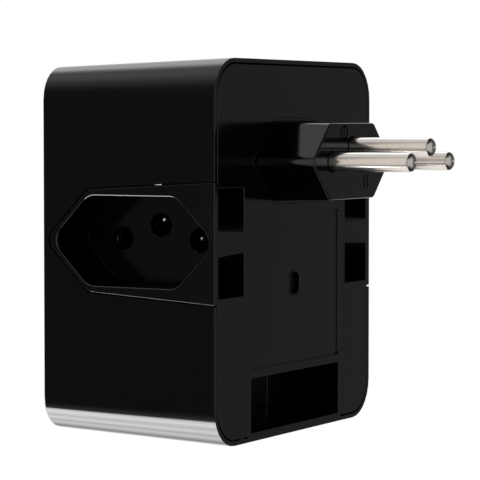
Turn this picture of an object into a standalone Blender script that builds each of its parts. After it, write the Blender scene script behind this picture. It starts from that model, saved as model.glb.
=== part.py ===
"""Smart plug: a through-socket adapter with a three-pin plug at the back and an outlet on each side.

Frame: metres, +Z up. The origin is the centre of the plug nose's flat end face, the pins point
along +Y, and the user's side of the case faces -Y. Right is +X, left is -X, seen from the user.
"""

import math

import bmesh
import bpy
from mathutils import Vector

MM = 0.001

# Clearances
GAP = 0.3 * MM                      # between pieces that touch or slide
CUT = 1.0 * MM                      # how far a cutting tool runs past the surface that it opens

# Case
CASE_WIDTH = 71.2 * MM              # at the rear edge
CASE_HEIGHT = 79.7 * MM             # at the rear edge
CASE_TOP = 21.4 * MM                # height of the rear edge above the line through the two power pins
CASE_RADIUS = 8.3 * MM              # corner radius at the rear edge
CASE_DRAFT = math.radians(2.0)      # every side leans in by this towards the front
SLEEVE_WALL = 0.95 * MM
CORNER_STEPS = 7
SLEEVE_EDGE = 0.25 * MM             # chamfer around the sleeve's front edge
FRONT_RIM = 1.4 * MM                # from the slots' front ends to the sleeve's front edge
SMALLEST_RADIUS = 0.3 * MM

# Plug nose and pins
NOSE_LENGTH = 13.4 * MM             # from the rear panel to the end face
NOSE_HALF_HEIGHT = 8.03 * MM        # at the end face
NOSE_TOP_MARGIN = 0.9 * MM          # from a power pin's axis to the end of the flat top edge, unrounded
NOSE_DRAFT = math.radians(1.5)
NOSE_RADIUS = 1.8 * MM
NOSE_WALL = 1.6 * MM
NOSE_END_WALL = 3.0 * MM
NOSE_EDGE = 0.25 * MM               # bevel around the end face
NOSE_FLANGE = 1.5 * MM              # flange behind the rear panel: its width and thickness
NOSE_RIM = 0.35 * MM                # chamfer around the opening in the rear panel
PIN_SPACING = 19.0 * MM
PIN_RADIUS = 2.0 * MM
PIN_LENGTH = 19.0 * MM
EARTH_OFFSET = 3.0 * MM             # the earth pin and hole sit this far above the other two
PIN_SHANK_RADIUS = 1.6 * MM
PIN_FLANGE_RADIUS = 3.0 * MM
PIN_FLANGE = 1.0 * MM
PIN_INNER_REACH = 10.0 * MM         # how far the pins reach in behind the rear face
PIN_DIMPLE_RADIUS = 0.6 * MM
PIN_DOME = 1.3 * MM                 # height of the rounded tip
PIN_STEPS = 24
DOME_STEPS = 5
RETAINER = 2.3 * MM

# Rear chassis
PANEL = 1.8 * MM
SKIRT_WALL = 1.2 * MM
SKIRT_DEPTH = 8.0 * MM
LABEL_MARGIN = 2.7 * MM             # between the label's recess and the windows beside it
LABEL_NOSE_GAP = 3.07 * MM          # between the label's recess and the nose, at the nose's end face
LABEL_DEPTH = 0.5 * MM
LABEL_RADIUS = 1.0 * MM
POCKET_HALF_WIDTH = 20.15 * MM
POCKET_HEIGHT = 11.35 * MM
POCKET_LIFT = 1.85 * MM             # from the case's bottom to the pocket
POCKET_DEPTH = 17.7 * MM
POCKET_WALL = 1.2 * MM
POCKET_LABEL_BAR = 1.9 * MM         # between the pocket and the label's recess
HOUSING_INSET = 0.1 * MM            # the pocket's housing stays this far inside the chassis's outer side
TAB_MARGIN = 1.25 * MM              # how much wider the tab is than the pocket, on each side
TAB_DEPTH = 6.0 * MM

# Side outlets
OUTLET_Z = -16.4 * MM
OUTLET_REAR_MARGIN = 0.1 * MM       # from the rear face to the recess's rear point, before it is rounded
RECESS_HALF_HEIGHT = 9.4 * MM       # at the side face
RECESS_TOP_MARGIN = 1.25 * MM       # from a hole's axis to the end of the flat top edge, unrounded
RECESS_RADIUS = 3.4 * MM
RECESS_DEPTH = 12.9 * MM            # at the rear edge of the case
RECESS_DRAFT = math.radians(2.0)
RECESS_FLOOR = 1.5 * MM
HOLE_RADIUS = 2.6 * MM
SLOT_RIM_REAR = 3.35 * MM           # from the recess up to the sleeve's slot, at the rear edge
SLOT_RIM_FRONT = 1.55 * MM          # the same, where the slot's slanted front end starts
SLOT_RIM_TIP = 0.6 * MM             # from the recess's front point, before it is rounded, to the slot's
SLOT_RIM_CORNER = 0.2 * MM          # from the end of the recess's top edge to the start of the slot's slant
SLOT_RADIUS = 2.6 * MM
WINDOW_FLOOR_RIM = 0.5 * MM         # from the recess's floor out to the windows' inner side
WINDOW_SIDE_RIM = 1.6 * MM          # from the windows' outer side to the case's side
WINDOW_RIM = 1.8 * MM               # how far a window's far edge is beyond the recess
BAR_HALF_OUTER = 2.65 * MM          # half the bar between two windows, at its outer end
BAR_HALF_INNER = 2.1 * MM

# Contacts behind each outlet
CONTACT_OUTER = 3.3 * MM
CONTACT_INNER = 2.2 * MM
CONTACT_LENGTH = 12.0 * MM
CONTACT_SLIT = math.radians(36)
CONTACT_STEPS = 14
CONTACT_FLARE = 0.4 * MM            # how much the mouth opens out, for the pin to find its way in
CONTACT_SETBACK = 0.6 * MM          # from the recess floor's inner side to the contact
HOLDER_END_WALL = 0.8 * MM          # around the contacts' bores, at the holder's two ends
HOLDER_SIDE_WALL = 1.9 * MM         # the same, below and above
HOLDER_THICKNESS = 7.4 * MM
STRIP = 0.8 * MM                    # thickness of the busbars
STRIP_HALF = 2.5 * MM
TAB_HALF = 1.8 * MM                 # half the width of the tabs that meet the pins and the board
LINE_TAP_DROP = 1.6 * MM            # how far the line busbar's tap passes below the neutral busbar

# Front
COVER = 1.4 * MM
COVER_EDGE = 0.4 * MM
BUTTON_Z = 6.0 * MM
BUTTON_RADIUS = 6.0 * MM
BUTTON_PROUD = 0.4 * MM
BUTTON_FLANGE = 0.8 * MM
BUTTON_TRAVEL = 0.5 * MM
BUTTON_STEM = 1.5 * MM
BUTTON_STEM_LENGTH = 0.6 * MM
BUTTON_LIP = 1.0 * MM
BUTTON_EDGE = 0.3 * MM
BUTTON_STEPS = 40
SWITCH_SIZE = 6.0 * MM
SWITCH_HEIGHT = 2.0 * MM
SWITCH_WELL = 1.5 * MM
LIGHT_Z = -4.5 * MM
LIGHT_RADIUS = 1.2 * MM
LIGHT_LIP = 0.6 * MM
LED_HALF_WIDTH = 0.8 * MM
LED_HALF_HEIGHT = 0.5 * MM
LED_REACH = 0.7 * MM

# Board and fixings
BOARD = 1.6 * MM
BOARD_ROOM = 4.8 * MM               # between the front cover and the board, for the switch
BOARD_SIDE_GAP = 1.2 * MM           # between the board and the recesses' floors
BOARD_DROP = 4.0 * MM               # from the case's top to the board's
BOARD_LIFT = 4.8 * MM               # from the case's bottom to the board's
BOARD_CORNER = 1.0 * MM
BOARD_SCREW_X = 15.5 * MM
BOARD_SCREW_LIFT = 3.5 * MM         # from the board's bottom to its screws
BOSS_RADIUS = 3.6 * MM
POST_RADIUS = 2.6 * MM
FIXING_Z = -26.3 * MM
FIXING_HEAD_RADIUS = 2.3 * MM
FIXING_HEAD = 1.8 * MM
FIXING_SHANK_RADIUS = 1.5 * MM
FIXING_LENGTH = 14.0 * MM
FIXING_DEPTH = 3.0 * MM             # from the rear face down to the screw's head
FIXING_MOUTH = 0.3 * MM
FIXING_BOSS = 8.4 * MM              # from the rear face to the end of the chassis's screw boss
FIXING_BOSS_RADIUS = 4.2 * MM
BOARD_SCREW_RADIUS = 1.0 * MM
BOARD_SCREW_HEAD = 1.3 * MM
BOARD_SCREW_LENGTH = 4.6 * MM
POST_DRILL = 4.2 * MM
PILOT_STEPS = 16

# Components on the board's rear side: (X, distance below the board's top or above its bottom), and
# (width, height, reach) or (radius, reach)
RELAY_PLACE = (-9.5 * MM, 7.6 * MM)
RELAY_SIZE = (19.0 * MM, 14.0 * MM, 14.5 * MM)
FILM_PLACE = (10.5 * MM, 4.2 * MM)
FILM_SIZE = (13.0 * MM, 5.5 * MM, 11.0 * MM)
VARISTOR_PLACE = (10.0 * MM, 14.8 * MM)
VARISTOR_RADIUS = 4.2 * MM
VARISTOR_THICKNESS = 3.4 * MM
VARISTOR_EDGE = 0.8 * MM
TRANSFORMER_PLACE = (10.8 * MM, 14.9 * MM)
TRANSFORMER_SIZE = (13.6 * MM, 13.0 * MM, 12.5 * MM)
BRIDGE_PLACE = (-11.0 * MM, 7.5 * MM)
BRIDGE_SIZE = (5.0 * MM, 4.6 * MM, 2.4 * MM)
BULK_PLACE = (-12.0 * MM, 16.5 * MM)
BULK_SIZE = (5.0 * MM, 16.0 * MM)
OUTPUT_PLACE = (-1.6 * MM, 15.5 * MM)
OUTPUT_SIZE = (3.15 * MM, 11.0 * MM)
CAN_EDGE = 0.4 * MM
CAN_GROOVE = 1.6 * MM               # from the can's foot to the groove around it
CHOKE_PLACE = (-4.0 * MM, 6.0 * MM)
CHOKE_SIZE = (4.0 * MM, 9.0 * MM)
CHOKE_WINDING_RADIUS = 3.5 * MM
CHOKE_CHEEK = 1.2 * MM
FUSE_PLACE = (2.5 * MM, 4.5 * MM)
FUSE_LENGTH = 10.0 * MM
FUSE_TUBE_RADIUS = 1.7 * MM
FUSE_CAP_RADIUS = 2.0 * MM
FUSE_CAP = 2.4 * MM
WIFI_X = -1.2 * MM
WIFI_Z = -8.6 * MM
WIFI_BOARD_SIZE = (14.0 * MM, 11.0 * MM, 0.8 * MM)
WIFI_SHIELD_DROP = 0.8 * MM
WIFI_SHIELD_SIZE = (11.5 * MM, 8.5 * MM, 2.0 * MM)

# The nose's and the outlets' sizes that follow from the sizes above
NOSE_TOP_HALF = PIN_SPACING / 2 + NOSE_TOP_MARGIN
RECESS_TOP_HALF = PIN_SPACING / 2 + RECESS_TOP_MARGIN
RECESS_HALF_LENGTH = RECESS_TOP_HALF + RECESS_HALF_HEIGHT
OUTLET_SETBACK = RECESS_HALF_LENGTH + OUTLET_REAR_MARGIN
SLOT_HALF_REAR = RECESS_HALF_HEIGHT + SLOT_RIM_REAR
SLOT_HALF_FRONT = RECESS_HALF_HEIGHT + SLOT_RIM_FRONT
SLOT_FRONT = OUTLET_SETBACK + RECESS_HALF_LENGTH + SLOT_RIM_TIP
SLOT_STRAIGHT = OUTLET_SETBACK + RECESS_TOP_HALF + SLOT_RIM_CORNER
SLOT_TIP_HALF = SLOT_HALF_FRONT - (SLOT_FRONT - SLOT_STRAIGHT)
WINDOW_HALF_HEIGHT = RECESS_HALF_HEIGHT + WINDOW_RIM
CASE_DEPTH = SLOT_FRONT + FRONT_RIM

# Places along Y
REAR = -NOSE_LENGTH
FRONT = REAR - CASE_DEPTH
OUTLET_Y = REAR - OUTLET_SETBACK
COVER_INNER = FRONT + COVER
BOARD_FRONT = COVER_INNER + BOARD_ROOM
BOARD_REAR = BOARD_FRONT + BOARD
SKIRT_END = REAR - SKIRT_DEPTH
PIN_END = REAR - PIN_INNER_REACH
BOSS_SETBACK = FIXING_BOSS + GAP
BOSS_END = REAR - BOSS_SETBACK
LIGHT_END = BOARD_FRONT - GAP - LED_REACH - GAP - FRONT

# Places along X
CASE_HALF = CASE_WIDTH / 2
FLOOR_X = CASE_HALF - RECESS_DEPTH
FLOOR_INNER_X = FLOOR_X - RECESS_FLOOR
WINDOW_INNER = FLOOR_X + WINDOW_FLOOR_RIM
WINDOW_OUTER = CASE_HALF - WINDOW_SIDE_RIM
LABEL_HALF_WIDTH = WINDOW_INNER - LABEL_MARGIN
TAB_HALF_WIDTH = POCKET_HALF_WIDTH + TAB_MARGIN
BOARD_HALF_WIDTH = FLOOR_INNER_X - BOARD_SIDE_GAP
CONTACT_X = FLOOR_INNER_X - CONTACT_SETBACK
STRIP_X = FLOOR_INNER_X - GAP - HOLDER_THICKNESS - GAP
STRIP_OFFSET = CONTACT_OUTER + GAP + STRIP / 2      # between a contact's axis and the middle of its busbar

# Places along Z
CASE_BOTTOM = CASE_TOP - CASE_HEIGHT
POCKET_BOTTOM = CASE_BOTTOM + POCKET_LIFT
POCKET_TOP = POCKET_BOTTOM + POCKET_HEIGHT
LABEL_BOTTOM = POCKET_TOP + POCKET_LABEL_BAR
LABEL_TOP = -NOSE_HALF_HEIGHT - LABEL_NOSE_GAP
BOARD_TOP = CASE_TOP - BOARD_DROP
BOARD_BOTTOM = CASE_BOTTOM + BOARD_LIFT
BOARD_SCREW_Z = BOARD_BOTTOM + BOARD_SCREW_LIFT

DRAFT_SLOPE = math.tan(CASE_DRAFT)

# Turns that point a solid's own +Z along a world axis
TO_REAR = (-math.pi / 2, 0, 0)      # turns a solid's own +Z to +Y
TO_FRONT = (math.pi / 2, 0, 0)
TO_RIGHT = (0, math.pi / 2, 0)


# Materials

def make_material(name, color, roughness, metallic=0.0):
    material = bpy.data.materials.new(name)
    material.use_nodes = True
    shader = material.node_tree.nodes["Principled BSDF"]
    shader.inputs["Base Color"].default_value = (*color, 1.0)
    shader.inputs["Roughness"].default_value = roughness
    shader.inputs["Metallic"].default_value = metallic
    material.diffuse_color = (*color, 1.0)
    return material


# Outlines: convex polygons of 2D points, counter-clockwise

def edge_normals(points, i):
    """The outward normals of the two edges that meet at corner i."""
    before = (points[i] - points[i - 1]).normalized()
    after = (points[(i + 1) % len(points)] - points[i]).normalized()
    return Vector((before.y, -before.x)), Vector((after.y, -after.x))


def offset_corner(points, i, distance):
    """Corner i once every edge has moved out by distance."""
    first, second = edge_normals(points, i)
    return points[i] + (first + second) * distance / (1 + first.dot(second))


def outline(corners, radii, grow=0.0, steps=4):
    """A polygon with every edge moved out by grow, and an arc in place of each corner that has a radius."""
    points = [Vector(corner) for corner in corners]
    result = []
    for i, radius in enumerate(radii):
        if radius <= 0:
            result.append(offset_corner(points, i, grow))
            continue
        first, second = edge_normals(points, i)
        grown_radius = max(radius + grow, SMALLEST_RADIUS)
        centre = offset_corner(points, i, grow - grown_radius)
        start = math.atan2(first.y, first.x)
        sweep = first.angle(second)
        for step in range(steps + 1):
            angle = start + sweep * step / steps
            result.append(centre + grown_radius * Vector((math.cos(angle), math.sin(angle))))
    return result


def case_outline(y, inset=0.0):
    """The rounded outline of the case in X and Z at a given Y, moved in by inset."""
    corners = [
        (-CASE_HALF, CASE_BOTTOM),
        (CASE_HALF, CASE_BOTTOM),
        (CASE_HALF, CASE_TOP),
        (-CASE_HALF, CASE_TOP),
    ]
    lean = (REAR - y) * DRAFT_SLOPE
    return outline(corners, [CASE_RADIUS] * 4, -lean - inset, CORNER_STEPS)


def hexagon(half_height, top_half, radius, grow=0.0):
    """A flat hexagon with slants at 45 degrees."""
    side = top_half + half_height
    corners = [
        (-top_half, -half_height),
        (top_half, -half_height),
        (side, 0.0),
        (top_half, half_height),
        (-top_half, half_height),
        (-side, 0.0),
    ]
    return outline(corners, [radius] * 6, grow)


def nose_outline(y, grow=0.0):
    """The plug nose's hexagon in X and Z at a given Y, moved out by grow."""
    return hexagon(NOSE_HALF_HEIGHT, NOSE_TOP_HALF, NOSE_RADIUS, grow - y * math.tan(NOSE_DRAFT))


def recess_outline(x):
    """An outlet's hexagon in Y and Z, about the outlet's middle, at a given distance from the case's middle."""
    shrink = (CASE_HALF - x) * math.tan(RECESS_DRAFT)
    return hexagon(RECESS_HALF_HEIGHT, RECESS_TOP_HALF, RECESS_RADIUS, -shrink)


def slot_outline(grow=0.0):
    """A side slot in Y and Z, running past the rear face, moved out by grow."""
    rear_half = SLOT_HALF_REAR + CUT * (SLOT_HALF_REAR - SLOT_HALF_FRONT) / SLOT_STRAIGHT
    corners = [
        (REAR - SLOT_FRONT, OUTLET_Z + SLOT_TIP_HALF),
        (REAR - SLOT_FRONT, OUTLET_Z - SLOT_TIP_HALF),
        (REAR - SLOT_STRAIGHT, OUTLET_Z - SLOT_HALF_FRONT),
        (REAR + CUT, OUTLET_Z - rear_half),
        (REAR + CUT, OUTLET_Z + rear_half),
        (REAR - SLOT_STRAIGHT, OUTLET_Z + SLOT_HALF_FRONT),
    ]
    radii = [SLOT_RADIUS, SLOT_RADIUS, SLOT_RADIUS, 0.0, 0.0, SLOT_RADIUS]
    return outline(corners, radii, grow, 3)


def in_xz(points, y):
    return [(point.x, y, point.y) for point in points]


def in_yz(points, x, middle=(0.0, 0.0)):
    return [(x, middle[0] + point.x, middle[1] + point.y) for point in points]


# Solids

def new_object(name, bm, material=None, smooth=None):
    """An object from a bmesh, shaded smooth below the angle smooth, in degrees, if it is given."""
    bmesh.ops.recalc_face_normals(bm, faces=bm.faces)
    mesh = bpy.data.meshes.new(name)
    bm.to_mesh(mesh)
    bm.free()
    obj = bpy.data.objects.new(name, mesh)
    bpy.context.collection.objects.link(obj)
    if material:
        mesh.materials.append(material)
    if smooth:
        mesh.shade_smooth()
        mesh.set_sharp_from_angle(angle=math.radians(smooth))
    return obj


def loft(name, sections, material=None, smooth=None, ring=False):
    """A skin over sections with equal numbers of points, capped, or closed on itself as a ring."""
    bm = bmesh.new()
    rows = [[bm.verts.new(point) for point in section] for section in sections]
    for first, second in zip(rows, rows[1:]):
        skin(bm, first, second)
    if ring:
        skin(bm, rows[-1], rows[0])
    else:
        bm.faces.new(rows[0])
        bm.faces.new(rows[-1])
    return new_object(name, bm, material, smooth)


def skin(bm, first, second):
    for i in range(len(first)):
        bm.faces.new((first[i - 1], first[i], second[i], second[i - 1]))


def block(name, low, high, material=None, bevel=0.0):
    """A box between two corners, with bevelled edges if bevel is given."""
    bm = bmesh.new()
    bmesh.ops.create_cube(bm, size=1.0)
    size = Vector(high) - Vector(low)
    bmesh.ops.scale(bm, vec=size, verts=bm.verts)
    if bevel:
        bmesh.ops.bevel(bm, geom=bm.edges[:], offset=bevel, segments=2, profile=0.5, affect="EDGES")
    obj = new_object(name, bm, material, 40 if bevel else None)
    obj.location = (Vector(high) + Vector(low)) / 2
    return obj


def turned(name, profile, place, rotation, material=None, steps=PIN_STEPS):
    """A solid of revolution. The profile is (radius, height) pairs from axis to axis, along the turned +Z."""
    bm = bmesh.new()
    points = [bm.verts.new((radius, 0.0, height)) for radius, height in profile]
    edges = [bm.edges.new(pair) for pair in zip(points, points[1:])]
    bmesh.ops.spin(
        bm, geom=points + edges, cent=(0, 0, 0), axis=(0, 0, 1), angle=math.tau, steps=steps, use_merge=True
    )
    bmesh.ops.remove_doubles(bm, verts=bm.verts, dist=0.001 * MM)
    obj = new_object(name, bm, material, 40)
    obj.location = place
    obj.rotation_euler = rotation
    return obj


def rod(name, radius, length, place, rotation, material=None, steps=PIN_STEPS):
    """A cylinder with undivided ends, from its place along the turned +Z."""
    bm = bmesh.new()
    bmesh.ops.create_cone(bm, cap_ends=True, segments=steps, radius1=radius, radius2=radius, depth=length)
    bmesh.ops.translate(bm, vec=(0, 0, length / 2), verts=bm.verts)
    obj = new_object(name, bm, material)
    obj.location = place
    obj.rotation_euler = rotation
    return obj


def combine(target, tools, operation):
    """Apply Booleans with solids that are then used up."""
    for tool in tools:
        modifier = target.modifiers.new(operation.title(), "BOOLEAN")
        modifier.operation = operation
        modifier.object = tool
        bpy.context.view_layer.objects.active = target
        bpy.ops.object.modifier_apply(modifier=modifier.name)
        bpy.data.objects.remove(tool)


def smooth_below(obj, degrees):
    obj.data.shade_smooth()
    obj.data.set_sharp_from_angle(angle=math.radians(degrees))


# Case

def outer_sleeve(material):
    wall_line = SLEEVE_WALL
    sleeve = loft(
        "outer_sleeve",
        [
            in_xz(case_outline(REAR), REAR),
            in_xz(case_outline(FRONT + SLEEVE_EDGE), FRONT + SLEEVE_EDGE),
            in_xz(case_outline(FRONT, SLEEVE_EDGE), FRONT),
            in_xz(case_outline(FRONT, wall_line), FRONT),
            in_xz(case_outline(REAR, wall_line), REAR),
        ],
        material,
        ring=True,
    )
    across = CASE_HALF + CUT
    slots = loft("slots", [in_yz(slot_outline(), -across), in_yz(slot_outline(), across)])
    notch_half = TAB_HALF_WIDTH + GAP
    notch = block(
        "notch",
        (-notch_half, REAR - TAB_DEPTH - GAP, CASE_BOTTOM - CUT),
        (notch_half, REAR + CUT, CASE_BOTTOM + SLEEVE_WALL + 3 * CUT),
    )
    combine(sleeve, [slots, notch], "DIFFERENCE")
    smooth_below(sleeve, 30)
    return sleeve


def front_cover(material):
    edge = SLEEVE_WALL + GAP
    cover = loft(
        "front_cover",
        [
            in_xz(case_outline(COVER_INNER, edge), COVER_INNER),
            in_xz(case_outline(FRONT + COVER_EDGE, edge), FRONT + COVER_EDGE),
            in_xz(case_outline(FRONT, edge + COVER_EDGE), FRONT),
        ],
        material,
    )
    start = COVER_INNER - COVER / 2
    boss_length = REAR - BOSS_SETBACK - start
    posts = [rod("boss", BOSS_RADIUS, boss_length, (0, start, FIXING_Z), TO_REAR)]
    place = (0, BOSS_END + CUT, FIXING_Z)
    drills = [rod("pilot", FIXING_SHANK_RADIUS + GAP, FIXING_LENGTH, place, TO_FRONT, steps=PILOT_STEPS)]
    for side in (-1, 1):
        place = Vector((side * BOARD_SCREW_X, start, BOARD_SCREW_Z))
        posts.append(rod("post", POST_RADIUS, BOARD_FRONT - GAP - start, place, TO_REAR, steps=16))
        place.y = BOARD_FRONT
        drills.append(rod("pilot", BOARD_SCREW_RADIUS + GAP, POST_DRILL, place, TO_FRONT, steps=12))
    place = (0, FRONT - CUT, BUTTON_Z)
    drills.append(rod("button_hole", BUTTON_RADIUS + GAP, COVER + 2 * CUT, place, TO_REAR, steps=BUTTON_STEPS))
    drills.append(rod("light_hole", LIGHT_RADIUS + GAP, COVER + 2 * CUT, (0, FRONT - CUT, LIGHT_Z), TO_REAR))
    combine(cover, posts, "UNION")
    combine(cover, drills, "DIFFERENCE")
    smooth_below(cover, 30)
    return cover


def rear_chassis(material):
    edge = SLEEVE_WALL + GAP
    chassis = loft(
        "rear_chassis",
        [in_xz(case_outline(REAR, edge), REAR), in_xz(case_outline(SKIRT_END, edge), SKIRT_END)],
        material,
    )
    inner = edge + SKIRT_WALL
    hollow_start = REAR - PANEL
    hollow = loft(
        "hollow",
        [
            in_xz(case_outline(hollow_start, inner), hollow_start),
            in_xz(case_outline(SKIRT_END, inner), SKIRT_END - CUT),
        ],
    )
    combine(chassis, [hollow], "DIFFERENCE")
    combine(chassis, chassis_blocks(), "UNION")
    combine(chassis, chassis_cuts(), "DIFFERENCE")
    smooth_below(chassis, 30)
    return chassis


def case_envelope(inset=0.0):
    """The space inside the case's sides, moved in by inset."""
    return loft("envelope", [in_xz(case_outline(y, inset), y) for y in (REAR, FRONT)])


def chassis_blocks():
    """What stands on the rear panel: the two outlet blocks, the tab, the pocket's housing and the screw boss."""
    blocks = []
    for side in (-1, 1):
        wing = slot_outline(-GAP)
        ends = [in_yz(wing, side * FLOOR_INNER_X), in_yz(wing, side * (CASE_HALF + CUT))]
        blocks.append(loft("outlet_block", ends))
    tab_top = CASE_BOTTOM + SLEEVE_WALL + GAP + SKIRT_WALL
    low = (-TAB_HALF_WIDTH, REAR - TAB_DEPTH, CASE_BOTTOM - CUT)
    blocks.append(block("tab", low, (TAB_HALF_WIDTH, REAR + CUT, tab_top)))
    for piece in blocks:
        combine(piece, [case_envelope()], "INTERSECT")
    blocks.append(pocket_housing())
    start = REAR - PANEL / 2
    length = start - (REAR - FIXING_BOSS)
    blocks.append(rod("screw_boss", FIXING_BOSS_RADIUS, length, (0, start, FIXING_Z), TO_FRONT))
    return blocks


def chassis_cuts():
    """The openings in the chassis, each a solid to be taken away."""
    cuts = [label_cut(), pocket_cut(), nose_cut(), fixing_cut()]
    for side in (-1, 1):
        cuts.append(recess_cut(side))
        cuts.extend(window_cut(side, up) for up in (-1, 1))
        for y, z in hole_places():
            place = (side * (FLOOR_INNER_X - CUT), y, z)
            cuts.append(rod("hole", HOLE_RADIUS, RECESS_FLOOR + 2 * CUT, place, outward(side)))
    return cuts


def label_cut():
    corners = [
        (-LABEL_HALF_WIDTH, LABEL_BOTTOM),
        (LABEL_HALF_WIDTH, LABEL_BOTTOM),
        (LABEL_HALF_WIDTH, LABEL_TOP),
        (-LABEL_HALF_WIDTH, LABEL_TOP),
    ]
    shape = outline(corners, [LABEL_RADIUS] * 4)
    return loft("label_cut", [in_xz(shape, REAR - LABEL_DEPTH), in_xz(shape, REAR + CUT)])


def pocket_section(y, grow=0.0):
    """The pocket's walls lean in with the case, so the lowest one stays clear of the sleeve."""
    corners = [
        (-POCKET_HALF_WIDTH, POCKET_BOTTOM),
        (POCKET_HALF_WIDTH, POCKET_BOTTOM),
        (POCKET_HALF_WIDTH, POCKET_TOP),
        (-POCKET_HALF_WIDTH, POCKET_TOP),
    ]
    return in_xz(outline(corners, [0.0] * 4, grow - (REAR - y) * DRAFT_SLOPE), y)


def pocket_cut():
    floor = REAR - POCKET_DEPTH
    return loft("pocket_cut", [pocket_section(floor), pocket_section(REAR + CUT)])


def pocket_housing():
    far = REAR - POCKET_DEPTH - POCKET_WALL
    near = REAR - PANEL / 2
    housing = loft("pocket_housing", [pocket_section(far, POCKET_WALL), pocket_section(near, POCKET_WALL)])
    combine(housing, [case_envelope(SLEEVE_WALL + GAP + HOUSING_INSET)], "INTERSECT")
    return housing


def nose_cut():
    opening = GAP
    return loft(
        "nose_cut",
        [
            in_xz(nose_outline(REAR, opening), REAR - PANEL - CUT),
            in_xz(nose_outline(REAR, opening), REAR - NOSE_RIM),
            in_xz(nose_outline(REAR, opening + NOSE_RIM + CUT), REAR + CUT),
        ],
    )


def fixing_cut():
    """The countersunk bore for the screw's head, with the hole for its shank at its end."""
    mouth = REAR - LABEL_DEPTH
    seat = REAR - FIXING_DEPTH - FIXING_HEAD - GAP
    through = REAR - FIXING_BOSS - CUT
    shank_radius = FIXING_SHANK_RADIUS + GAP
    bore_radius = FIXING_HEAD_RADIUS + GAP
    mouth_radius = bore_radius + FIXING_MOUTH
    profile = [
        (0, through),
        (shank_radius, through),
        (shank_radius, seat),
        (bore_radius, seat),
        (bore_radius, mouth - FIXING_MOUTH),
        (mouth_radius, mouth),
        (mouth_radius, mouth + CUT),
        (0, mouth + CUT),
    ]
    return turned("fixing_bore", profile, (0, 0, FIXING_Z), TO_REAR)


def recess_cut(side):
    middle = (OUTLET_Y, OUTLET_Z)
    mouth_x = CASE_HALF + CUT
    sections = [
        in_yz(recess_outline(FLOOR_X), side * FLOOR_X, middle),
        in_yz(recess_outline(mouth_x), side * mouth_x, middle),
    ]
    return loft("recess", sections)


def window_cut(side, up):
    """A pocket beside the outlet's slanted rear walls: three-cornered, and open to the rear."""
    sections = []
    for x, bar in ((WINDOW_INNER, BAR_HALF_INNER), (WINDOW_OUTER, BAR_HALF_OUTER)):
        depth = WINDOW_HALF_HEIGHT - bar
        shape = [
            Vector((REAR + CUT, WINDOW_HALF_HEIGHT * up)),
            Vector((REAR - depth, WINDOW_HALF_HEIGHT * up)),
            Vector((REAR, bar * up)),
            Vector((REAR + CUT, bar * up)),
        ]
        sections.append(in_yz(shape, side * x, (0.0, OUTLET_Z)))
    return loft("window", sections)


def hole_places():
    """Y and Z of an outlet's line, earth and neutral holes."""
    half = PIN_SPACING / 2
    return [(OUTLET_Y + half, OUTLET_Z), (OUTLET_Y, OUTLET_Z + EARTH_OFFSET), (OUTLET_Y - half, OUTLET_Z)]


# Plug

def plug_nose(material):
    flange_y = REAR - PANEL - GAP
    inner_y = flange_y - NOSE_FLANGE
    cavity_y = -NOSE_END_WALL
    nose = loft(
        "plug_nose",
        [
            in_xz(nose_outline(0.0, -NOSE_EDGE), 0.0),
            in_xz(nose_outline(-NOSE_EDGE), -NOSE_EDGE),
            in_xz(nose_outline(REAR), flange_y),
            in_xz(nose_outline(REAR, NOSE_FLANGE), flange_y),
            in_xz(nose_outline(REAR, NOSE_FLANGE), inner_y),
            in_xz(nose_outline(REAR, -NOSE_WALL), inner_y),
            in_xz(nose_outline(cavity_y, -NOSE_WALL), cavity_y),
        ],
        material,
    )
    holes = []
    for x, z in pin_places():
        place = (x, -NOSE_END_WALL - CUT, z)
        holes.append(rod("pin_hole", PIN_RADIUS + GAP, NOSE_END_WALL + 2 * CUT, place, TO_REAR))
    combine(nose, holes, "DIFFERENCE")
    smooth_below(nose, 30)
    return nose


def pin_places():
    """X and Z of the line, earth and neutral pins."""
    half = PIN_SPACING / 2
    return [(half, 0.0), (0.0, EARTH_OFFSET), (-half, 0.0)]


def pin_retainer(material):
    rear_y = -NOSE_END_WALL - GAP - PIN_FLANGE - GAP
    front_y = rear_y - RETAINER
    shape = nose_outline(rear_y, -NOSE_WALL - GAP)
    retainer = loft("pin_retainer", [in_xz(shape, rear_y), in_xz(shape, front_y)], material)
    holes = []
    for x, z in pin_places():
        place = (x, front_y - CUT, z)
        holes.append(rod("shank_hole", PIN_SHANK_RADIUS + GAP, RETAINER + 2 * CUT, place, TO_REAR))
    combine(retainer, holes, "DIFFERENCE")
    smooth_below(retainer, 30)
    return retainer


def pin(name, x, z, material):
    flange_end = PIN_INNER_REACH + NOSE_LENGTH - NOSE_END_WALL - GAP
    flange_start = flange_end - PIN_FLANGE
    shoulder = PIN_INNER_REACH + NOSE_LENGTH + PIN_LENGTH - PIN_DOME
    profile = [
        (0, 0),
        (PIN_SHANK_RADIUS, 0),
        (PIN_SHANK_RADIUS, flange_start),
        (PIN_FLANGE_RADIUS, flange_start),
        (PIN_FLANGE_RADIUS, flange_end),
        (PIN_RADIUS, flange_end),
    ]
    last = math.acos(PIN_DIMPLE_RADIUS / PIN_RADIUS)
    for step in range(DOME_STEPS + 1):
        angle = last * step / DOME_STEPS
        profile.append((PIN_RADIUS * math.cos(angle), shoulder + PIN_DOME * math.sin(angle)))
    dimple_floor = profile[-1][1] - PIN_DIMPLE_RADIUS / 2
    profile.append((PIN_DIMPLE_RADIUS / 2, dimple_floor))
    profile.append((0, dimple_floor))
    return turned(name, profile, (x, REAR - PIN_INNER_REACH, z), TO_REAR, material)


# Contacts and busbars

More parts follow.
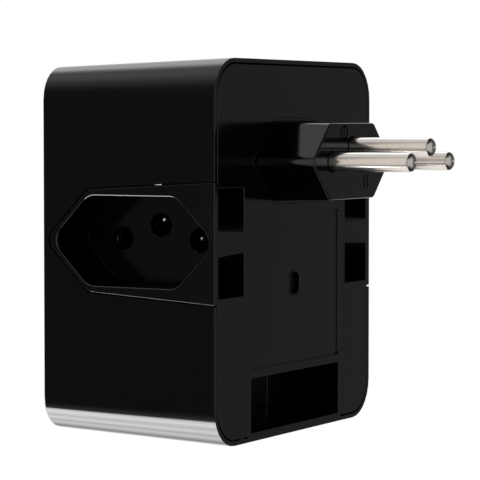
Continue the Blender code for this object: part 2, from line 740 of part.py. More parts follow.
def contact(name, side, y, z, material):
    """A slit tube that grips a plug's pin. It is open at both ends, so a long pin passes through."""
    profile = [
        (CONTACT_INNER + CONTACT_FLARE, 0),
        (CONTACT_OUTER, 0),
        (CONTACT_OUTER, CONTACT_LENGTH),
        (CONTACT_INNER, CONTACT_LENGTH),
        (CONTACT_INNER, CONTACT_FLARE),
    ]
    sections = []
    for step in range(CONTACT_STEPS + 1):
        angle = CONTACT_SLIT / 2 + (math.tau - CONTACT_SLIT) * step / CONTACT_STEPS
        sections.append([(r * math.cos(angle), r * math.sin(angle), h) for r, h in profile])
    clip = loft(name, sections, material, 40)
    clip.location = (side * CONTACT_X, y, z)
    clip.rotation_euler = outward(-side)
    return clip


def contact_holder(name, side, material):
    outer_x = FLOOR_INNER_X - GAP
    inner_x = outer_x - HOLDER_THICKNESS
    bore_radius = CONTACT_OUTER + GAP
    half_length = PIN_SPACING / 2 + bore_radius + HOLDER_END_WALL
    margin = bore_radius + HOLDER_SIDE_WALL
    low_x, high_x = sorted((side * inner_x, side * outer_x))
    holder = block(
        name,
        (low_x, OUTLET_Y - half_length, OUTLET_Z - margin),
        (high_x, OUTLET_Y + half_length, OUTLET_Z + EARTH_OFFSET + margin),
        material,
    )
    # The box is made about its own middle, so its place goes into its mesh before it is drilled
    holder.data.transform(holder.matrix_basis)
    holder.location = (0, 0, 0)
    bores = []
    for y, z in hole_places():
        place = (side * (inner_x - CUT), y, z)
        bores.append(rod("bore", bore_radius, HOLDER_THICKNESS + 2 * CUT, place, outward(side)))
    combine(holder, bores, "DIFFERENCE")
    smooth_below(holder, 30)
    return holder


def joined_strips(name, pieces, material):
    """One metal strip from boxes that overlap where they meet."""
    strip = block(name, *pieces[0], material)
    combine(strip, [block("strip", *piece) for piece in pieces[1:]], "UNION")
    return strip


def cross_strip(y, z):
    """A strip from outlet to outlet, under the contacts if it is below their axis and over them if above."""
    half = STRIP / 2
    return ((-STRIP_X, y - STRIP_HALF, z - half), (STRIP_X, y + STRIP_HALF, z + half))


def pin_tab(x, low, high):
    """The upright end of a strip, in front of a pin's inner end."""
    end = PIN_END - GAP
    return ((x - TAB_HALF, end - STRIP, low), (x + TAB_HALF, end, high))


def line_lead(material):
    x = PIN_SPACING / 2
    under = -PIN_SHANK_RADIUS - STRIP
    run = ((x - TAB_HALF, BOARD_REAR + GAP, under), (x + TAB_HALF, PIN_END - GAP, under + STRIP))
    return joined_strips("line_lead", [run, pin_tab(x, under, PIN_SHANK_RADIUS)], material)


def line_busbar(material):
    y = OUTLET_Y + PIN_SPACING / 2
    z = OUTLET_Z - STRIP_OFFSET
    half = STRIP / 2
    low = z - LINE_TAP_DROP
    drop = ((-TAB_HALF, y - half, low - half), (TAB_HALF, y + half, z))
    run = ((-TAB_HALF, BOARD_REAR + GAP, low - half), (TAB_HALF, y + half, low + half))
    return joined_strips("line_busbar", [cross_strip(y, z), drop, run], material)


def neutral_busbar(material):
    """From the outlets up to the level of the power pins, across to the neutral one, and out to it."""
    y = OUTLET_Y - PIN_SPACING / 2
    z = OUTLET_Z - STRIP_OFFSET
    x = -PIN_SPACING / 2
    top = -PIN_SHANK_RADIUS + STRIP
    half = STRIP / 2
    riser = ((-TAB_HALF, y - half, z), (TAB_HALF, y + half, top))
    across = ((x - TAB_HALF, y - TAB_HALF, top - STRIP), (TAB_HALF, y + TAB_HALF, top))
    run = ((x - TAB_HALF, y, top - STRIP), (x + TAB_HALF, PIN_END - GAP, top))
    tab = pin_tab(x, top - STRIP, PIN_SHANK_RADIUS)
    return joined_strips("neutral_busbar", [cross_strip(y, z), riser, across, run, tab], material)


def earth_busbar(material):
    y = OUTLET_Y
    z = OUTLET_Z + EARTH_OFFSET + STRIP_OFFSET
    top = EARTH_OFFSET - PIN_SHANK_RADIUS
    half = STRIP / 2
    riser = ((-TAB_HALF, y - half, z), (TAB_HALF, y + half, top))
    run = ((-TAB_HALF, y - half, top - STRIP), (TAB_HALF, PIN_END - GAP, top))
    tab = pin_tab(0.0, top - STRIP, EARTH_OFFSET + PIN_SHANK_RADIUS)
    return joined_strips("earth_busbar", [cross_strip(y, z), riser, run, tab], material)


# Button and status light

def power_button(material):
    """A turned cap with a flange behind the cover and a stem that reaches the switch."""
    face = COVER + GAP + BUTTON_PROUD
    flange_end = face + BUTTON_FLANGE
    stem_end = flange_end + BUTTON_STEM_LENGTH
    edge = BUTTON_EDGE
    flange_radius = BUTTON_RADIUS + BUTTON_LIP
    profile = [
        (0, 0),
        (BUTTON_RADIUS - edge, 0),
        (BUTTON_RADIUS, edge),
        (BUTTON_RADIUS, face),
        (flange_radius, face),
        (flange_radius, flange_end),
        (BUTTON_STEM, flange_end),
        (BUTTON_STEM, stem_end),
        (0, stem_end),
    ]
    place = (0, FRONT - BUTTON_PROUD, BUTTON_Z)
    return turned("power_button", profile, place, TO_REAR, material, BUTTON_STEPS)


def tact_switch(material):
    high_y = BOARD_FRONT - GAP
    half = SWITCH_SIZE / 2
    switch = block(
        "tact_switch",
        (-half, high_y - SWITCH_HEIGHT, BUTTON_Z - half),
        (half, high_y, BUTTON_Z + half),
        material,
    )
    switch.data.transform(switch.matrix_basis)
    switch.location = (0, 0, 0)
    well = rod(
        "well", BUTTON_STEM + GAP, SWITCH_WELL + CUT, (0, high_y - SWITCH_HEIGHT - CUT, BUTTON_Z), TO_REAR
    )
    combine(switch, [well], "DIFFERENCE")
    return switch


def tact_plunger(material):
    stem_end = COVER_INNER + GAP + BUTTON_FLANGE + BUTTON_STEM_LENGTH
    start = stem_end + GAP
    well_floor = BOARD_FRONT - GAP - SWITCH_HEIGHT + SWITCH_WELL
    length = well_floor - GAP - BUTTON_TRAVEL - start
    return rod("tact_plunger", BUTTON_STEM, length, (0, start, BUTTON_Z), TO_REAR, material, 20)


def light_pipe(material):
    profile = [
        (0, 0),
        (LIGHT_RADIUS, 0),
        (LIGHT_RADIUS, COVER + GAP),
        (LIGHT_RADIUS + LIGHT_LIP, COVER + GAP),
        (LIGHT_RADIUS + LIGHT_LIP, COVER + GAP + LIGHT_LIP),
        (LIGHT_RADIUS, COVER + GAP + LIGHT_LIP),
        (LIGHT_RADIUS, LIGHT_END),
        (0, LIGHT_END),
    ]
    return turned("light_pipe", profile, (0, FRONT, LIGHT_Z), TO_REAR, material, 20)


def status_led(material):
    high_y = BOARD_FRONT - GAP
    low_y = FRONT + LIGHT_END + GAP
    return block(
        "status_led",
        (-LED_HALF_WIDTH, low_y, LIGHT_Z - LED_HALF_HEIGHT),
        (LED_HALF_WIDTH, high_y, LIGHT_Z + LED_HALF_HEIGHT),
        material,
        0.1 * MM,
    )


# Circuit board and what stands on it

def main_circuit_board(material):
    board = loft(
        "main_circuit_board",
        [in_xz(board_outline(), BOARD_FRONT), in_xz(board_outline(), BOARD_REAR)],
        material,
    )
    drills = [rod("boss_hole", BOSS_RADIUS + GAP, BOARD + 2 * CUT, (0, BOARD_FRONT - CUT, FIXING_Z), TO_REAR)]
    for side in (-1, 1):
        place = (side * BOARD_SCREW_X, BOARD_FRONT - CUT, BOARD_SCREW_Z)
        drills.append(rod("screw_hole", BOARD_SCREW_RADIUS + GAP, BOARD + 2 * CUT, place, TO_REAR, steps=16))
    combine(board, drills, "DIFFERENCE")
    return board


def board_outline():
    corners = [
        (-BOARD_HALF_WIDTH, BOARD_BOTTOM),
        (BOARD_HALF_WIDTH, BOARD_BOTTOM),
        (BOARD_HALF_WIDTH, BOARD_TOP),
        (-BOARD_HALF_WIDTH, BOARD_TOP),
    ]
    return outline(corners, [BOARD_CORNER] * 4)


def below_top(place):
    x, drop = place
    return x, BOARD_TOP - drop


def above_bottom(place):
    x, lift = place
    return x, BOARD_BOTTOM + lift


def on_board(name, middle, size, material, bevel=0.3 * MM, raised=0.0):
    """A box on the board's rear side, about a middle in X and Z."""
    x, z = middle
    width, height, reach = size
    low_y = BOARD_REAR + GAP + raised
    low = (x - width / 2, low_y, z - height / 2)
    return block(name, low, (x + width / 2, low_y + reach, z + height / 2), material, bevel)


def can_on_board(name, middle, size, material):
    """An upright can with a rounded rim and a groove near its foot."""
    x, z = middle
    radius, reach = size
    profile = [
        (0, 0),
        (radius - CAN_EDGE, 0),
        (radius, CAN_EDGE),
        (radius, CAN_GROOVE - CAN_EDGE),
        (radius - CAN_EDGE, CAN_GROOVE),
        (radius, CAN_GROOVE + CAN_EDGE),
        (radius, reach - CAN_EDGE),
        (radius - CAN_EDGE, reach),
        (0, reach),
    ]
    return turned(name, profile, (x, BOARD_REAR + GAP, z), TO_REAR, material)


def filter_choke(material):
    """A drum core: two cheeks with the winding between them."""
    x, z = above_bottom(CHOKE_PLACE)
    cheek, height = CHOKE_SIZE
    profile = [
        (0, 0),
        (cheek, 0),
        (cheek, CHOKE_CHEEK),
        (CHOKE_WINDING_RADIUS, CHOKE_CHEEK),
        (CHOKE_WINDING_RADIUS, height - CHOKE_CHEEK),
        (cheek, height - CHOKE_CHEEK),
        (cheek, height),
        (0, height),
    ]
    return turned("filter_choke", profile, (x, BOARD_REAR + GAP, z), TO_REAR, material)


def fuse(material):
    """A glass tube lying across the board, with a cap at each end."""
    x, z = above_bottom(FUSE_PLACE)
    profile = [
        (0, 0),
        (FUSE_CAP_RADIUS, 0),
        (FUSE_CAP_RADIUS, FUSE_CAP),
        (FUSE_TUBE_RADIUS, FUSE_CAP),
        (FUSE_TUBE_RADIUS, FUSE_LENGTH - FUSE_CAP),
        (FUSE_CAP_RADIUS, FUSE_LENGTH - FUSE_CAP),
        (FUSE_CAP_RADIUS, FUSE_LENGTH),
        (0, FUSE_LENGTH),
    ]
    return turned("fuse", profile, (x, BOARD_REAR + GAP + FUSE_CAP_RADIUS, z), TO_RIGHT, material)


def varistor(material):
    """A thick disc that stands on its rim."""
    x, z = below_top(VARISTOR_PLACE)
    flat = VARISTOR_RADIUS - VARISTOR_EDGE
    profile = [
        (0, 0),
        (flat, 0),
        (VARISTOR_RADIUS, VARISTOR_EDGE),
        (VARISTOR_RADIUS, VARISTOR_THICKNESS - VARISTOR_EDGE),
        (flat, VARISTOR_THICKNESS),
        (0, VARISTOR_THICKNESS),
    ]
    return turned("varistor", profile, (x, BOARD_REAR + GAP + VARISTOR_RADIUS, z), (0, 0, 0), material)


def board_parts(plastic, epoxy, can, copper, shield, board):
    on_board("relay", below_top(RELAY_PLACE), RELAY_SIZE, plastic)
    on_board("film_capacitor", below_top(FILM_PLACE), FILM_SIZE, epoxy)
    on_board("transformer", above_bottom(TRANSFORMER_PLACE), TRANSFORMER_SIZE, copper)
    on_board("bridge_rectifier", above_bottom(BRIDGE_PLACE), BRIDGE_SIZE, plastic)
    can_on_board("bulk_capacitor", above_bottom(BULK_PLACE), BULK_SIZE, can)
    can_on_board("output_capacitor", above_bottom(OUTPUT_PLACE), OUTPUT_SIZE, can)
    filter_choke(copper)
    fuse(shield)
    varistor(epoxy)
    on_board("wifi_board", (WIFI_X, WIFI_Z), WIFI_BOARD_SIZE, board, 0.0)
    shield_middle = (WIFI_X, WIFI_Z - WIFI_SHIELD_DROP)
    on_board("wifi_shield", shield_middle, WIFI_SHIELD_SIZE, shield, raised=WIFI_BOARD_SIZE[2] + GAP)


# Screws

def screw(name, head_radius, head, shank_radius, length, place, material):
    """A pan-head screw with a round driver socket. It points to the front from the top of its head."""
    socket = head_radius * 0.4
    profile = [
        (0, head / 2),
        (socket, head / 2),
        (socket, 0),
        (head_radius - head / 4, 0),
        (head_radius, head / 4),
        (head_radius, head),
        (shank_radius, head),
        (shank_radius, head + length - shank_radius),
        (0, head + length),
    ]
    return turned(name, profile, place, TO_FRONT, material, 20)


def screws(material):
    place = (0, REAR - FIXING_DEPTH, FIXING_Z)
    screw("chassis_screw", FIXING_HEAD_RADIUS, FIXING_HEAD, FIXING_SHANK_RADIUS, FIXING_LENGTH, place, material)
    for side, word in ((-1, "left"), (1, "right")):
        place = (side * BOARD_SCREW_X, BOARD_REAR + GAP + BOARD_SCREW_HEAD, BOARD_SCREW_Z)
        screw(
            f"board_screw_{word}",
            1.8 * BOARD_SCREW_RADIUS,
            BOARD_SCREW_HEAD,
            BOARD_SCREW_RADIUS,
            BOARD_SCREW_LENGTH,
            place,
            material,
        )


# Directions: the turn that points a solid's own +Z along a world axis

def outward(side):
    return (0, side * math.pi / 2, 0)


def build():
    for obj in list(bpy.data.objects):
        bpy.data.objects.remove(obj, do_unlink=True)
    gloss = make_material("gloss_black", (0.012, 0.012, 0.013), 0.16)
    matte = make_material("matte_black", (0.02, 0.02, 0.021), 0.45)
    nickel = make_material("nickel", (0.78, 0.74, 0.70), 0.18, 1.0)
    brass = make_material("brass", (0.72, 0.55, 0.28), 0.3, 1.0)
    steel = make_material("steel", (0.55, 0.55, 0.56), 0.35, 1.0)
    insulator = make_material("insulator", (0.75, 0.75, 0.72), 0.55)
    clear = make_material("light_guide", (0.85, 0.88, 0.9), 0.2)
    board = make_material("circuit_board", (0.02, 0.16, 0.07), 0.5)
    relay_case = make_material("relay_case", (0.03, 0.07, 0.25), 0.4)
    epoxy = make_material("epoxy", (0.05, 0.16, 0.4), 0.45)
    can = make_material("capacitor_can", (0.06, 0.06, 0.08), 0.4)
    copper = make_material("winding", (0.45, 0.2, 0.08), 0.5)
    shield = make_material("tinned_cover", (0.7, 0.71, 0.72), 0.35, 1.0)

    outer_sleeve(gloss)
    front_cover(gloss)
    rear_chassis(matte)
    plug_nose(matte)
    pin_retainer(insulator)
    for name, (x, z) in zip(("line_pin", "earth_pin", "neutral_pin"), pin_places()):
        pin(name, x, z, nickel)
    for side, word in ((-1, "left"), (1, "right")):
        for role, (y, z) in zip(("line", "earth", "neutral"), hole_places()):
            contact(f"{word}_{role}_contact", side, y, z, brass)
        contact_holder(f"{word}_contact_holder", side, insulator)
    line_lead(brass)
    line_busbar(brass)
    neutral_busbar(brass)
    earth_busbar(brass)
    power_button(gloss)
    tact_switch(can)
    tact_plunger(insulator)
    light_pipe(clear)
    status_led(clear)
    main_circuit_board(board)
    board_parts(relay_case, epoxy, can, copper, shield, board)
    screws(steel)


build()
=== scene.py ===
import math
import bmesh
import bpy
from mathutils import Matrix, Vector


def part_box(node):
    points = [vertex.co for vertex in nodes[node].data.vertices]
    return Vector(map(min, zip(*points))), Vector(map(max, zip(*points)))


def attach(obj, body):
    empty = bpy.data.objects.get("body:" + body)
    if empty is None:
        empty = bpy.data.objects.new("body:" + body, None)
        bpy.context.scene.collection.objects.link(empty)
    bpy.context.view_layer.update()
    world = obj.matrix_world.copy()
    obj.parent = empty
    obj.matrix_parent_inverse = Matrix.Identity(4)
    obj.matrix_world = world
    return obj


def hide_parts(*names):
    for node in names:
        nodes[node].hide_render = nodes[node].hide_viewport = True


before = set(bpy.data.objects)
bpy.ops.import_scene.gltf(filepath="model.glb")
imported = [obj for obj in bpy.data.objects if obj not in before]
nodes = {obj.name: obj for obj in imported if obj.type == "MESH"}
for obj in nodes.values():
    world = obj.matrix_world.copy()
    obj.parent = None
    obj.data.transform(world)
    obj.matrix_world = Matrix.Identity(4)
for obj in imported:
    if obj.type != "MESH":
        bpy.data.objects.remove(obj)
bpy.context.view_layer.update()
print("frame loaded with", len(nodes), "nodes")

# everything is in metres, and these turn handier units into them
mm = 0.001
micron = 0.000001

# places that several pieces share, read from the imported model
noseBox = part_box("plug_nose")
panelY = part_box("outer_sleeve")[1].y
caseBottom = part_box("outer_sleeve")[0].z

usualSpread = (0.3, 0.7)  # where most of a noise's values lie


# shader node helpers

def newGroup(name, inputs, outputs):
    group = bpy.data.node_groups.new(name, "ShaderNodeTree")
    for label, kind, value in inputs:
        socket = group.interface.new_socket(name=label, in_out="INPUT", socket_type=kind)
        if value is not None:
            socket.default_value = value
    for label, kind in outputs:
        group.interface.new_socket(name=label, in_out="OUTPUT", socket_type=kind)
    start = group.nodes.new("NodeGroupInput")
    end = group.nodes.new("NodeGroupOutput")
    return group, start, end


def addNode(tree, kind, settings=None, values=None):
    node = tree.nodes.new(kind)
    for key, value in (settings or {}).items():
        setattr(node, key, value)
    for key, value in (values or {}).items():
        node.inputs[key].default_value = value
    return node


def addMath(tree, operation, first, second=None):
    node = tree.nodes.new("ShaderNodeMath")
    node.operation = operation
    for slot, value in enumerate((first, second)):
        if value is None:
            continue
        if isinstance(value, (int, float)):
            node.inputs[slot].default_value = value
        else:
            tree.links.new(value, node.inputs[slot])
    return node.outputs[0]


def addAverage(tree, first, second):
    return addMath(tree, "MULTIPLY", addMath(tree, "ADD", first, second), 0.5)


def addRange(tree, value, low, high, newLow=0.0, newHigh=1.0, smooth=False):
    node = tree.nodes.new("ShaderNodeMapRange")
    node.interpolation_type = "SMOOTHSTEP" if smooth else "LINEAR"
    node.inputs["From Min"].default_value = low
    node.inputs["From Max"].default_value = high
    node.inputs["To Min"].default_value = newLow
    node.inputs["To Max"].default_value = newHigh
    tree.links.new(value, node.inputs["Value"])
    return node.outputs["Result"]


def addNoise(tree, vector, scale, detail=2.0, roughness=0.5):
    node = addNode(tree, "ShaderNodeTexNoise", None, {"Detail": detail, "Roughness": roughness})
    if isinstance(scale, (int, float)):
        node.inputs["Scale"].default_value = scale
    else:
        tree.links.new(scale, node.inputs["Scale"])
    tree.links.new(vector, node.inputs["Vector"])
    return node.outputs["Fac"]


def addMix(tree, factor, first, second):
    node = tree.nodes.new("ShaderNodeMix")
    node.data_type = "RGBA"
    colorInputs = [socket for socket in node.inputs if socket.type == "RGBA"]
    for socket, value in zip(colorInputs, (first, second)):
        if isinstance(value, tuple):
            socket.default_value = (*value, 1.0)
        else:
            tree.links.new(value, socket)
    tree.links.new(factor, node.inputs["Factor"])
    return [socket for socket in node.outputs if socket.type == "RGBA"][0]


def mapped(tree, vector, scale=(1, 1, 1), turn=(0, 0, 0), shift=(0, 0, 0)):
    settings = {"Scale": scale, "Rotation": turn, "Location": shift}
    node = addNode(tree, "ShaderNodeMapping", None, settings)
    tree.links.new(vector, node.inputs["Vector"])
    return node.outputs["Vector"]


def addCells(tree, vector, feature, scale):
    node = addNode(tree, "ShaderNodeTexVoronoi", {"feature": feature})
    if isinstance(scale, (int, float)):
        node.inputs["Scale"].default_value = scale
    else:
        tree.links.new(scale, node.inputs["Scale"])
    tree.links.new(vector, node.inputs["Vector"])
    return node


# shared effects: each is a group that only gives values; a noise is its scale, detail and roughness

mouldGrain = {
    "grainScale": 9000.0, "grain": (3.0, 0.6), "waveScale": 60.0, "wave": (2.0, 0.4),
    "blotch": (350.0, 4.0, 0.65), "blotchShift": (0.3, 0.1, 0.7), "amount": 0.5,
}
hairScratches = {
    "turns": ((0.35, 24.0), (1.4, 30.0), (2.5, 20.0)), "scale": 90.0, "noise": (1.0, 1.0, 0.5),
    "line": (0.69, 0.73), "patchNoise": (130.0, 1.0), "patch": (0.45, 0.6), "amount": 0.3,
}
dustSpecks = {
    "scale": 900.0, "speck": (0.22, 0.08), "chanceSpread": 7.0, "chance": (0.9, 0.95),
    "patchNoise": (70.0, 2.0), "patch": (0.4, 0.7), "amount": 0.3,
}
drawnLines = {"scale": (900.0, 30.0, 900.0), "fine": (4.0, 3.0, 0.7), "broad": (0.8, 2.0, 0.5)}


def makeMouldGrain(values):
    # the skin of moulded plastic: a very fine grain over slow waves left by cooling
    group, start, end = newGroup(
        "mouldGrain",
        [("Vector", "NodeSocketVector", None), ("Grain Scale", "NodeSocketFloat", values["grainScale"]),
         ("Wave Scale", "NodeSocketFloat", values["waveScale"]),
         ("Grain", "NodeSocketFloat", values["amount"])],
        [("Height", "NodeSocketFloat"), ("Variation", "NodeSocketFloat")],
    )
    vector = start.outputs["Vector"]
    grain = addNoise(group, vector, start.outputs["Grain Scale"], *values["grain"])
    wave = addNoise(group, vector, start.outputs["Wave Scale"], *values["wave"])
    fine = addMath(group, "MULTIPLY", grain, start.outputs["Grain"])
    group.links.new(addMath(group, "ADD", fine, wave), end.inputs["Height"])
    blotch = addNoise(group, mapped(group, vector, shift=values["blotchShift"]), *values["blotch"])
    group.links.new(addAverage(group, wave, blotch), end.inputs["Variation"])
    return group


def makeHairScratches(values):
    # short hairlines in three directions, as handling leaves them
    group, start, end = newGroup(
        "hairScratches",
        [("Vector", "NodeSocketVector", None), ("Amount", "NodeSocketFloat", values["amount"])],
        [("Mask", "NodeSocketFloat")],
    )
    vector = start.outputs["Vector"]
    total = None
    for turn, stretch in values["turns"]:
        scale = (values["scale"], values["scale"] * stretch, values["scale"] * stretch)
        lined = mapped(group, vector, scale, (turn, turn, turn))
        line = addRange(group, addNoise(group, lined, *values["noise"]), *values["line"])
        patch = addNoise(group, mapped(group, vector, shift=(turn, 0, 0)), *values["patchNoise"])
        line = addMath(group, "MULTIPLY", line, addRange(group, patch, *values["patch"]))
        total = line if total is None else addMath(group, "MAXIMUM", total, line)
    group.links.new(addMath(group, "MULTIPLY", total, start.outputs["Amount"]), end.inputs["Mask"])
    return group


def makeDustSpecks(values):
    # scattered specks of dust, more in some patches than in others
    group, start, end = newGroup(
        "dustSpecks",
        [("Vector", "NodeSocketVector", None), ("Scale", "NodeSocketFloat", values["scale"]),
         ("Amount", "NodeSocketFloat", values["amount"])],
        [("Mask", "NodeSocketFloat")],
    )
    vector = start.outputs["Vector"]
    cells = addCells(group, vector, "F1", start.outputs["Scale"])
    speck = addRange(group, cells.outputs["Distance"], *values["speck"])
    chance = addMath(group, "MULTIPLY", cells.outputs["Color"], values["chanceSpread"])
    chance = addMath(group, "FRACT", chance)
    speck = addMath(group, "MULTIPLY", speck, addRange(group, chance, *values["chance"]))
    patch = addRange(group, addNoise(group, vector, *values["patchNoise"]), *values["patch"])
    speck = addMath(group, "MULTIPLY", speck, patch)
    group.links.new(addMath(group, "MULTIPLY", speck, start.outputs["Amount"]), end.inputs["Mask"])
    return group


def makeDrawnLines(values):
    # the fine lines that drawing and turning leave on metal, closest across the Line Scale vector
    group, start, end = newGroup(
        "drawnLines",
        [("Vector", "NodeSocketVector", None), ("Line Scale", "NodeSocketVector", values["scale"])],
        [("Height", "NodeSocketFloat"), ("Variation", "NodeSocketFloat")],
    )
    scaled = addNode(group, "ShaderNodeVectorMath", {"operation": "MULTIPLY"})
    group.links.new(start.outputs["Vector"], scaled.inputs[0])
    group.links.new(start.outputs["Line Scale"], scaled.inputs[1])
    fine = addNoise(group, scaled.outputs["Vector"], *values["fine"])
    broad = addNoise(group, scaled.outputs["Vector"], *values["broad"])
    group.links.new(fine, end.inputs["Height"])
    group.links.new(addAverage(group, fine, broad), end.inputs["Variation"])
    return group


effects = {
    "grain": makeMouldGrain(mouldGrain),
    "scratches": makeHairScratches(hairScratches),
    "dust": makeDustSpecks(dustSpecks),
    "lines": makeDrawnLines(drawnLines),
}
print("shared effects built")


def placeEffect(tree, key, vector, values):
    node = tree.nodes.new("ShaderNodeGroup")
    node.node_tree = effects[key]
    tree.links.new(vector, node.inputs["Vector"])
    for label, value in values.items():
        node.inputs[label].default_value = value
    return node


def startMaterial(name):
    material = bpy.data.materials.new(name)
    material.use_nodes = True
    tree = material.node_tree
    shader = tree.nodes["Principled BSDF"]
    place = tree.nodes.new("ShaderNodeTexCoord").outputs["Object"]
    return material, tree, shader, place


def addBump(tree, shader, height, distance):
    node = addNode(tree, "ShaderNodeBump", None, {"Distance": distance, "Strength": 1.0})
    tree.links.new(height, node.inputs["Height"])
    tree.links.new(node.outputs["Normal"], shader.inputs["Normal"])


# moulded plastics of the case

glossBlack = {
    "color": (0.0009, 0.0009, 0.001), "wornColor": (0.0024, 0.0024, 0.0026),
    "dustColor": (0.03, 0.029, 0.028), "roughness": (0.05, 0.09), "scratchRoughness": 0.1,
    "grain": 0.25, "grainDepth": 1.2 * micron, "scratches": 0.25, "dust": 0.1,
}
mattBlack = {
    "color": (0.0006, 0.0006, 0.0007), "wornColor": (0.0016, 0.0016, 0.0017),
    "dustColor": (0.03, 0.029, 0.028), "roughness": (0.12, 0.17), "scratchRoughness": 0.06,
    "grain": 1.0, "grainDepth": 2.5 * micron, "scratches": 0.3, "dust": 0.12,
}
# painted shade: the chassis's matt black, with its specular level turned almost off on the recess walls so
# they read black as shade
recessShadeBlack = dict(mattBlack, walls={
    "inner": 22.9 * mm, "outer": 33.6 * mm, "rear": panelY - 3.0 * mm, "shine": (0.5, 0.01),
})
noseBlack = dict(mattBlack, roughness=(0.06, 0.1), grainDepth=1.5 * micron, scratches=0.4)
buttonBlack = dict(glossBlack, roughness=(0.1, 0.16), scratches=0.6)


def makeCasePlastic(name, values):
    material, tree, shader, place = startMaterial(name)
    grain = placeEffect(tree, "grain", place, {"Grain": values["grain"]})
    scratch = placeEffect(tree, "scratches", place, {"Amount": values["scratches"]})
    dust = placeEffect(tree, "dust", place, {"Amount": values["dust"]})
    base = addMix(tree, grain.outputs["Variation"], values["color"], values["wornColor"])
    base = addMix(tree, scratch.outputs["Mask"], base, values["wornColor"])
    base = addMix(tree, dust.outputs["Mask"], base, values["dustColor"])
    tree.links.new(base, shader.inputs["Base Color"])
    rough = addRange(tree, grain.outputs["Variation"], *usualSpread, *values["roughness"])
    scratchRough = addMath(tree, "MULTIPLY", scratch.outputs["Mask"], values["scratchRoughness"])
    rough = addMath(tree, "ADD", rough, scratchRough)
    rough = addMath(tree, "MAXIMUM", rough, dust.outputs["Mask"])
    tree.links.new(rough, shader.inputs["Roughness"])
    height = addMath(tree, "SUBTRACT", grain.outputs["Height"], scratch.outputs["Mask"])
    addBump(tree, shader, height, values["grainDepth"])
    # painted shade: on the recess walls the specular level falls from the first shine value to the second
    if "walls" in values:
        walls = paintedRecessShade(tree, place, values["walls"])
        shine = addRange(tree, walls, 0, 1, *values["walls"]["shine"])
        tree.links.new(shine, shader.inputs["Specular IOR Level"])
    return material


def paintedRecessShade(tree, place, values):
    # a mask of the openings' walls, between their floors and the outer faces, where shade is painted by
    # turning the specular level down
    split = tree.nodes.new("ShaderNodeSeparateXYZ")
    tree.links.new(place, split.inputs[0])
    across = addMath(tree, "ABSOLUTE", split.outputs["X"])
    inner = addMath(tree, "GREATER_THAN", across, values["inner"])
    outer = addMath(tree, "LESS_THAN", across, values["outer"])
    below = addMath(tree, "LESS_THAN", split.outputs["Y"], values["rear"])
    return addMath(tree, "MULTIPLY", below, addMath(tree, "MULTIPLY", inner, outer))


# metals

nickelPlate = {
    "color": (0.70, 0.655, 0.61), "darkColor": (0.58, 0.535, 0.49), "roughness": (0.14, 0.22),
    "lineScale": (1500.0, 40.0, 1500.0), "lineDepth": 1.5 * micron, "scratches": 0.4,
}
springBrass = {
    "color": (0.78, 0.63, 0.36), "darkColor": (0.5, 0.36, 0.16), "roughness": (0.18, 0.36),
    "lineScale": (60.0, 900.0, 900.0), "lineDepth": 2.0 * micron, "scratches": 0.5,
}
# painted shade: the contact metal is made nearly black so the holes read dark as shade; only its dimple
# keeps a bright metal
platedContact = {
    "color": (0.1, 0.095, 0.09), "darkColor": (0.04, 0.036, 0.03), "roughness": (0.1, 0.2),
    "lineScale": (50.0, 1200.0, 1200.0), "lineDepth": 1.5 * micron, "scratches": 0.4,
}
zincSteel = {
    "color": (0.36, 0.36, 0.37), "darkColor": (0.16, 0.155, 0.15), "roughness": (0.25, 0.45),
    "lineScale": (800.0, 80.0, 800.0), "lineDepth": 3.0 * micron, "scratches": 0.7,
}
catchSpring = dict(
    platedContact, color=(0.85, 0.85, 0.85), darkColor=(0.6, 0.6, 0.6), roughness=(0.15, 0.25),
)
tinPlate = {
    "color": (0.72, 0.73, 0.74), "darkColor": (0.5, 0.5, 0.5), "roughness": (0.28, 0.5),
    "lineScale": (300.0, 300.0, 40.0), "lineDepth": 3.0 * micron, "scratches": 0.5,
}
metalWear = {"tarnishNoise": (260.0, 4.0, 0.6), "tarnish": (0.5, 0.75), "scratchRoughness": 0.15}


def makeMetal(name, values):
    material, tree, shader, place = startMaterial(name)
    shader.inputs["Metallic"].default_value = 1.0
    lines = placeEffect(tree, "lines", place, {"Line Scale": values["lineScale"]})
    scratch = placeEffect(tree, "scratches", place, {"Amount": values["scratches"]})
    tarnish = addRange(tree, addNoise(tree, place, *metalWear["tarnishNoise"]), *metalWear["tarnish"])
    tarnish = addMath(tree, "MULTIPLY", tarnish, lines.outputs["Variation"])
    base = addMix(tree, tarnish, values["color"], values["darkColor"])
    tree.links.new(base, shader.inputs["Base Color"])
    rough = addRange(tree, lines.outputs["Variation"], *usualSpread, *values["roughness"])
    scratchRough = addMath(tree, "MULTIPLY", scratch.outputs["Mask"], metalWear["scratchRoughness"])
    tree.links.new(addMath(tree, "ADD", rough, scratchRough), shader.inputs["Roughness"])
    height = addMath(tree, "SUBTRACT", lines.outputs["Height"], scratch.outputs["Mask"])
    addBump(tree, shader, height, values["lineDepth"])
    return material


# inside parts

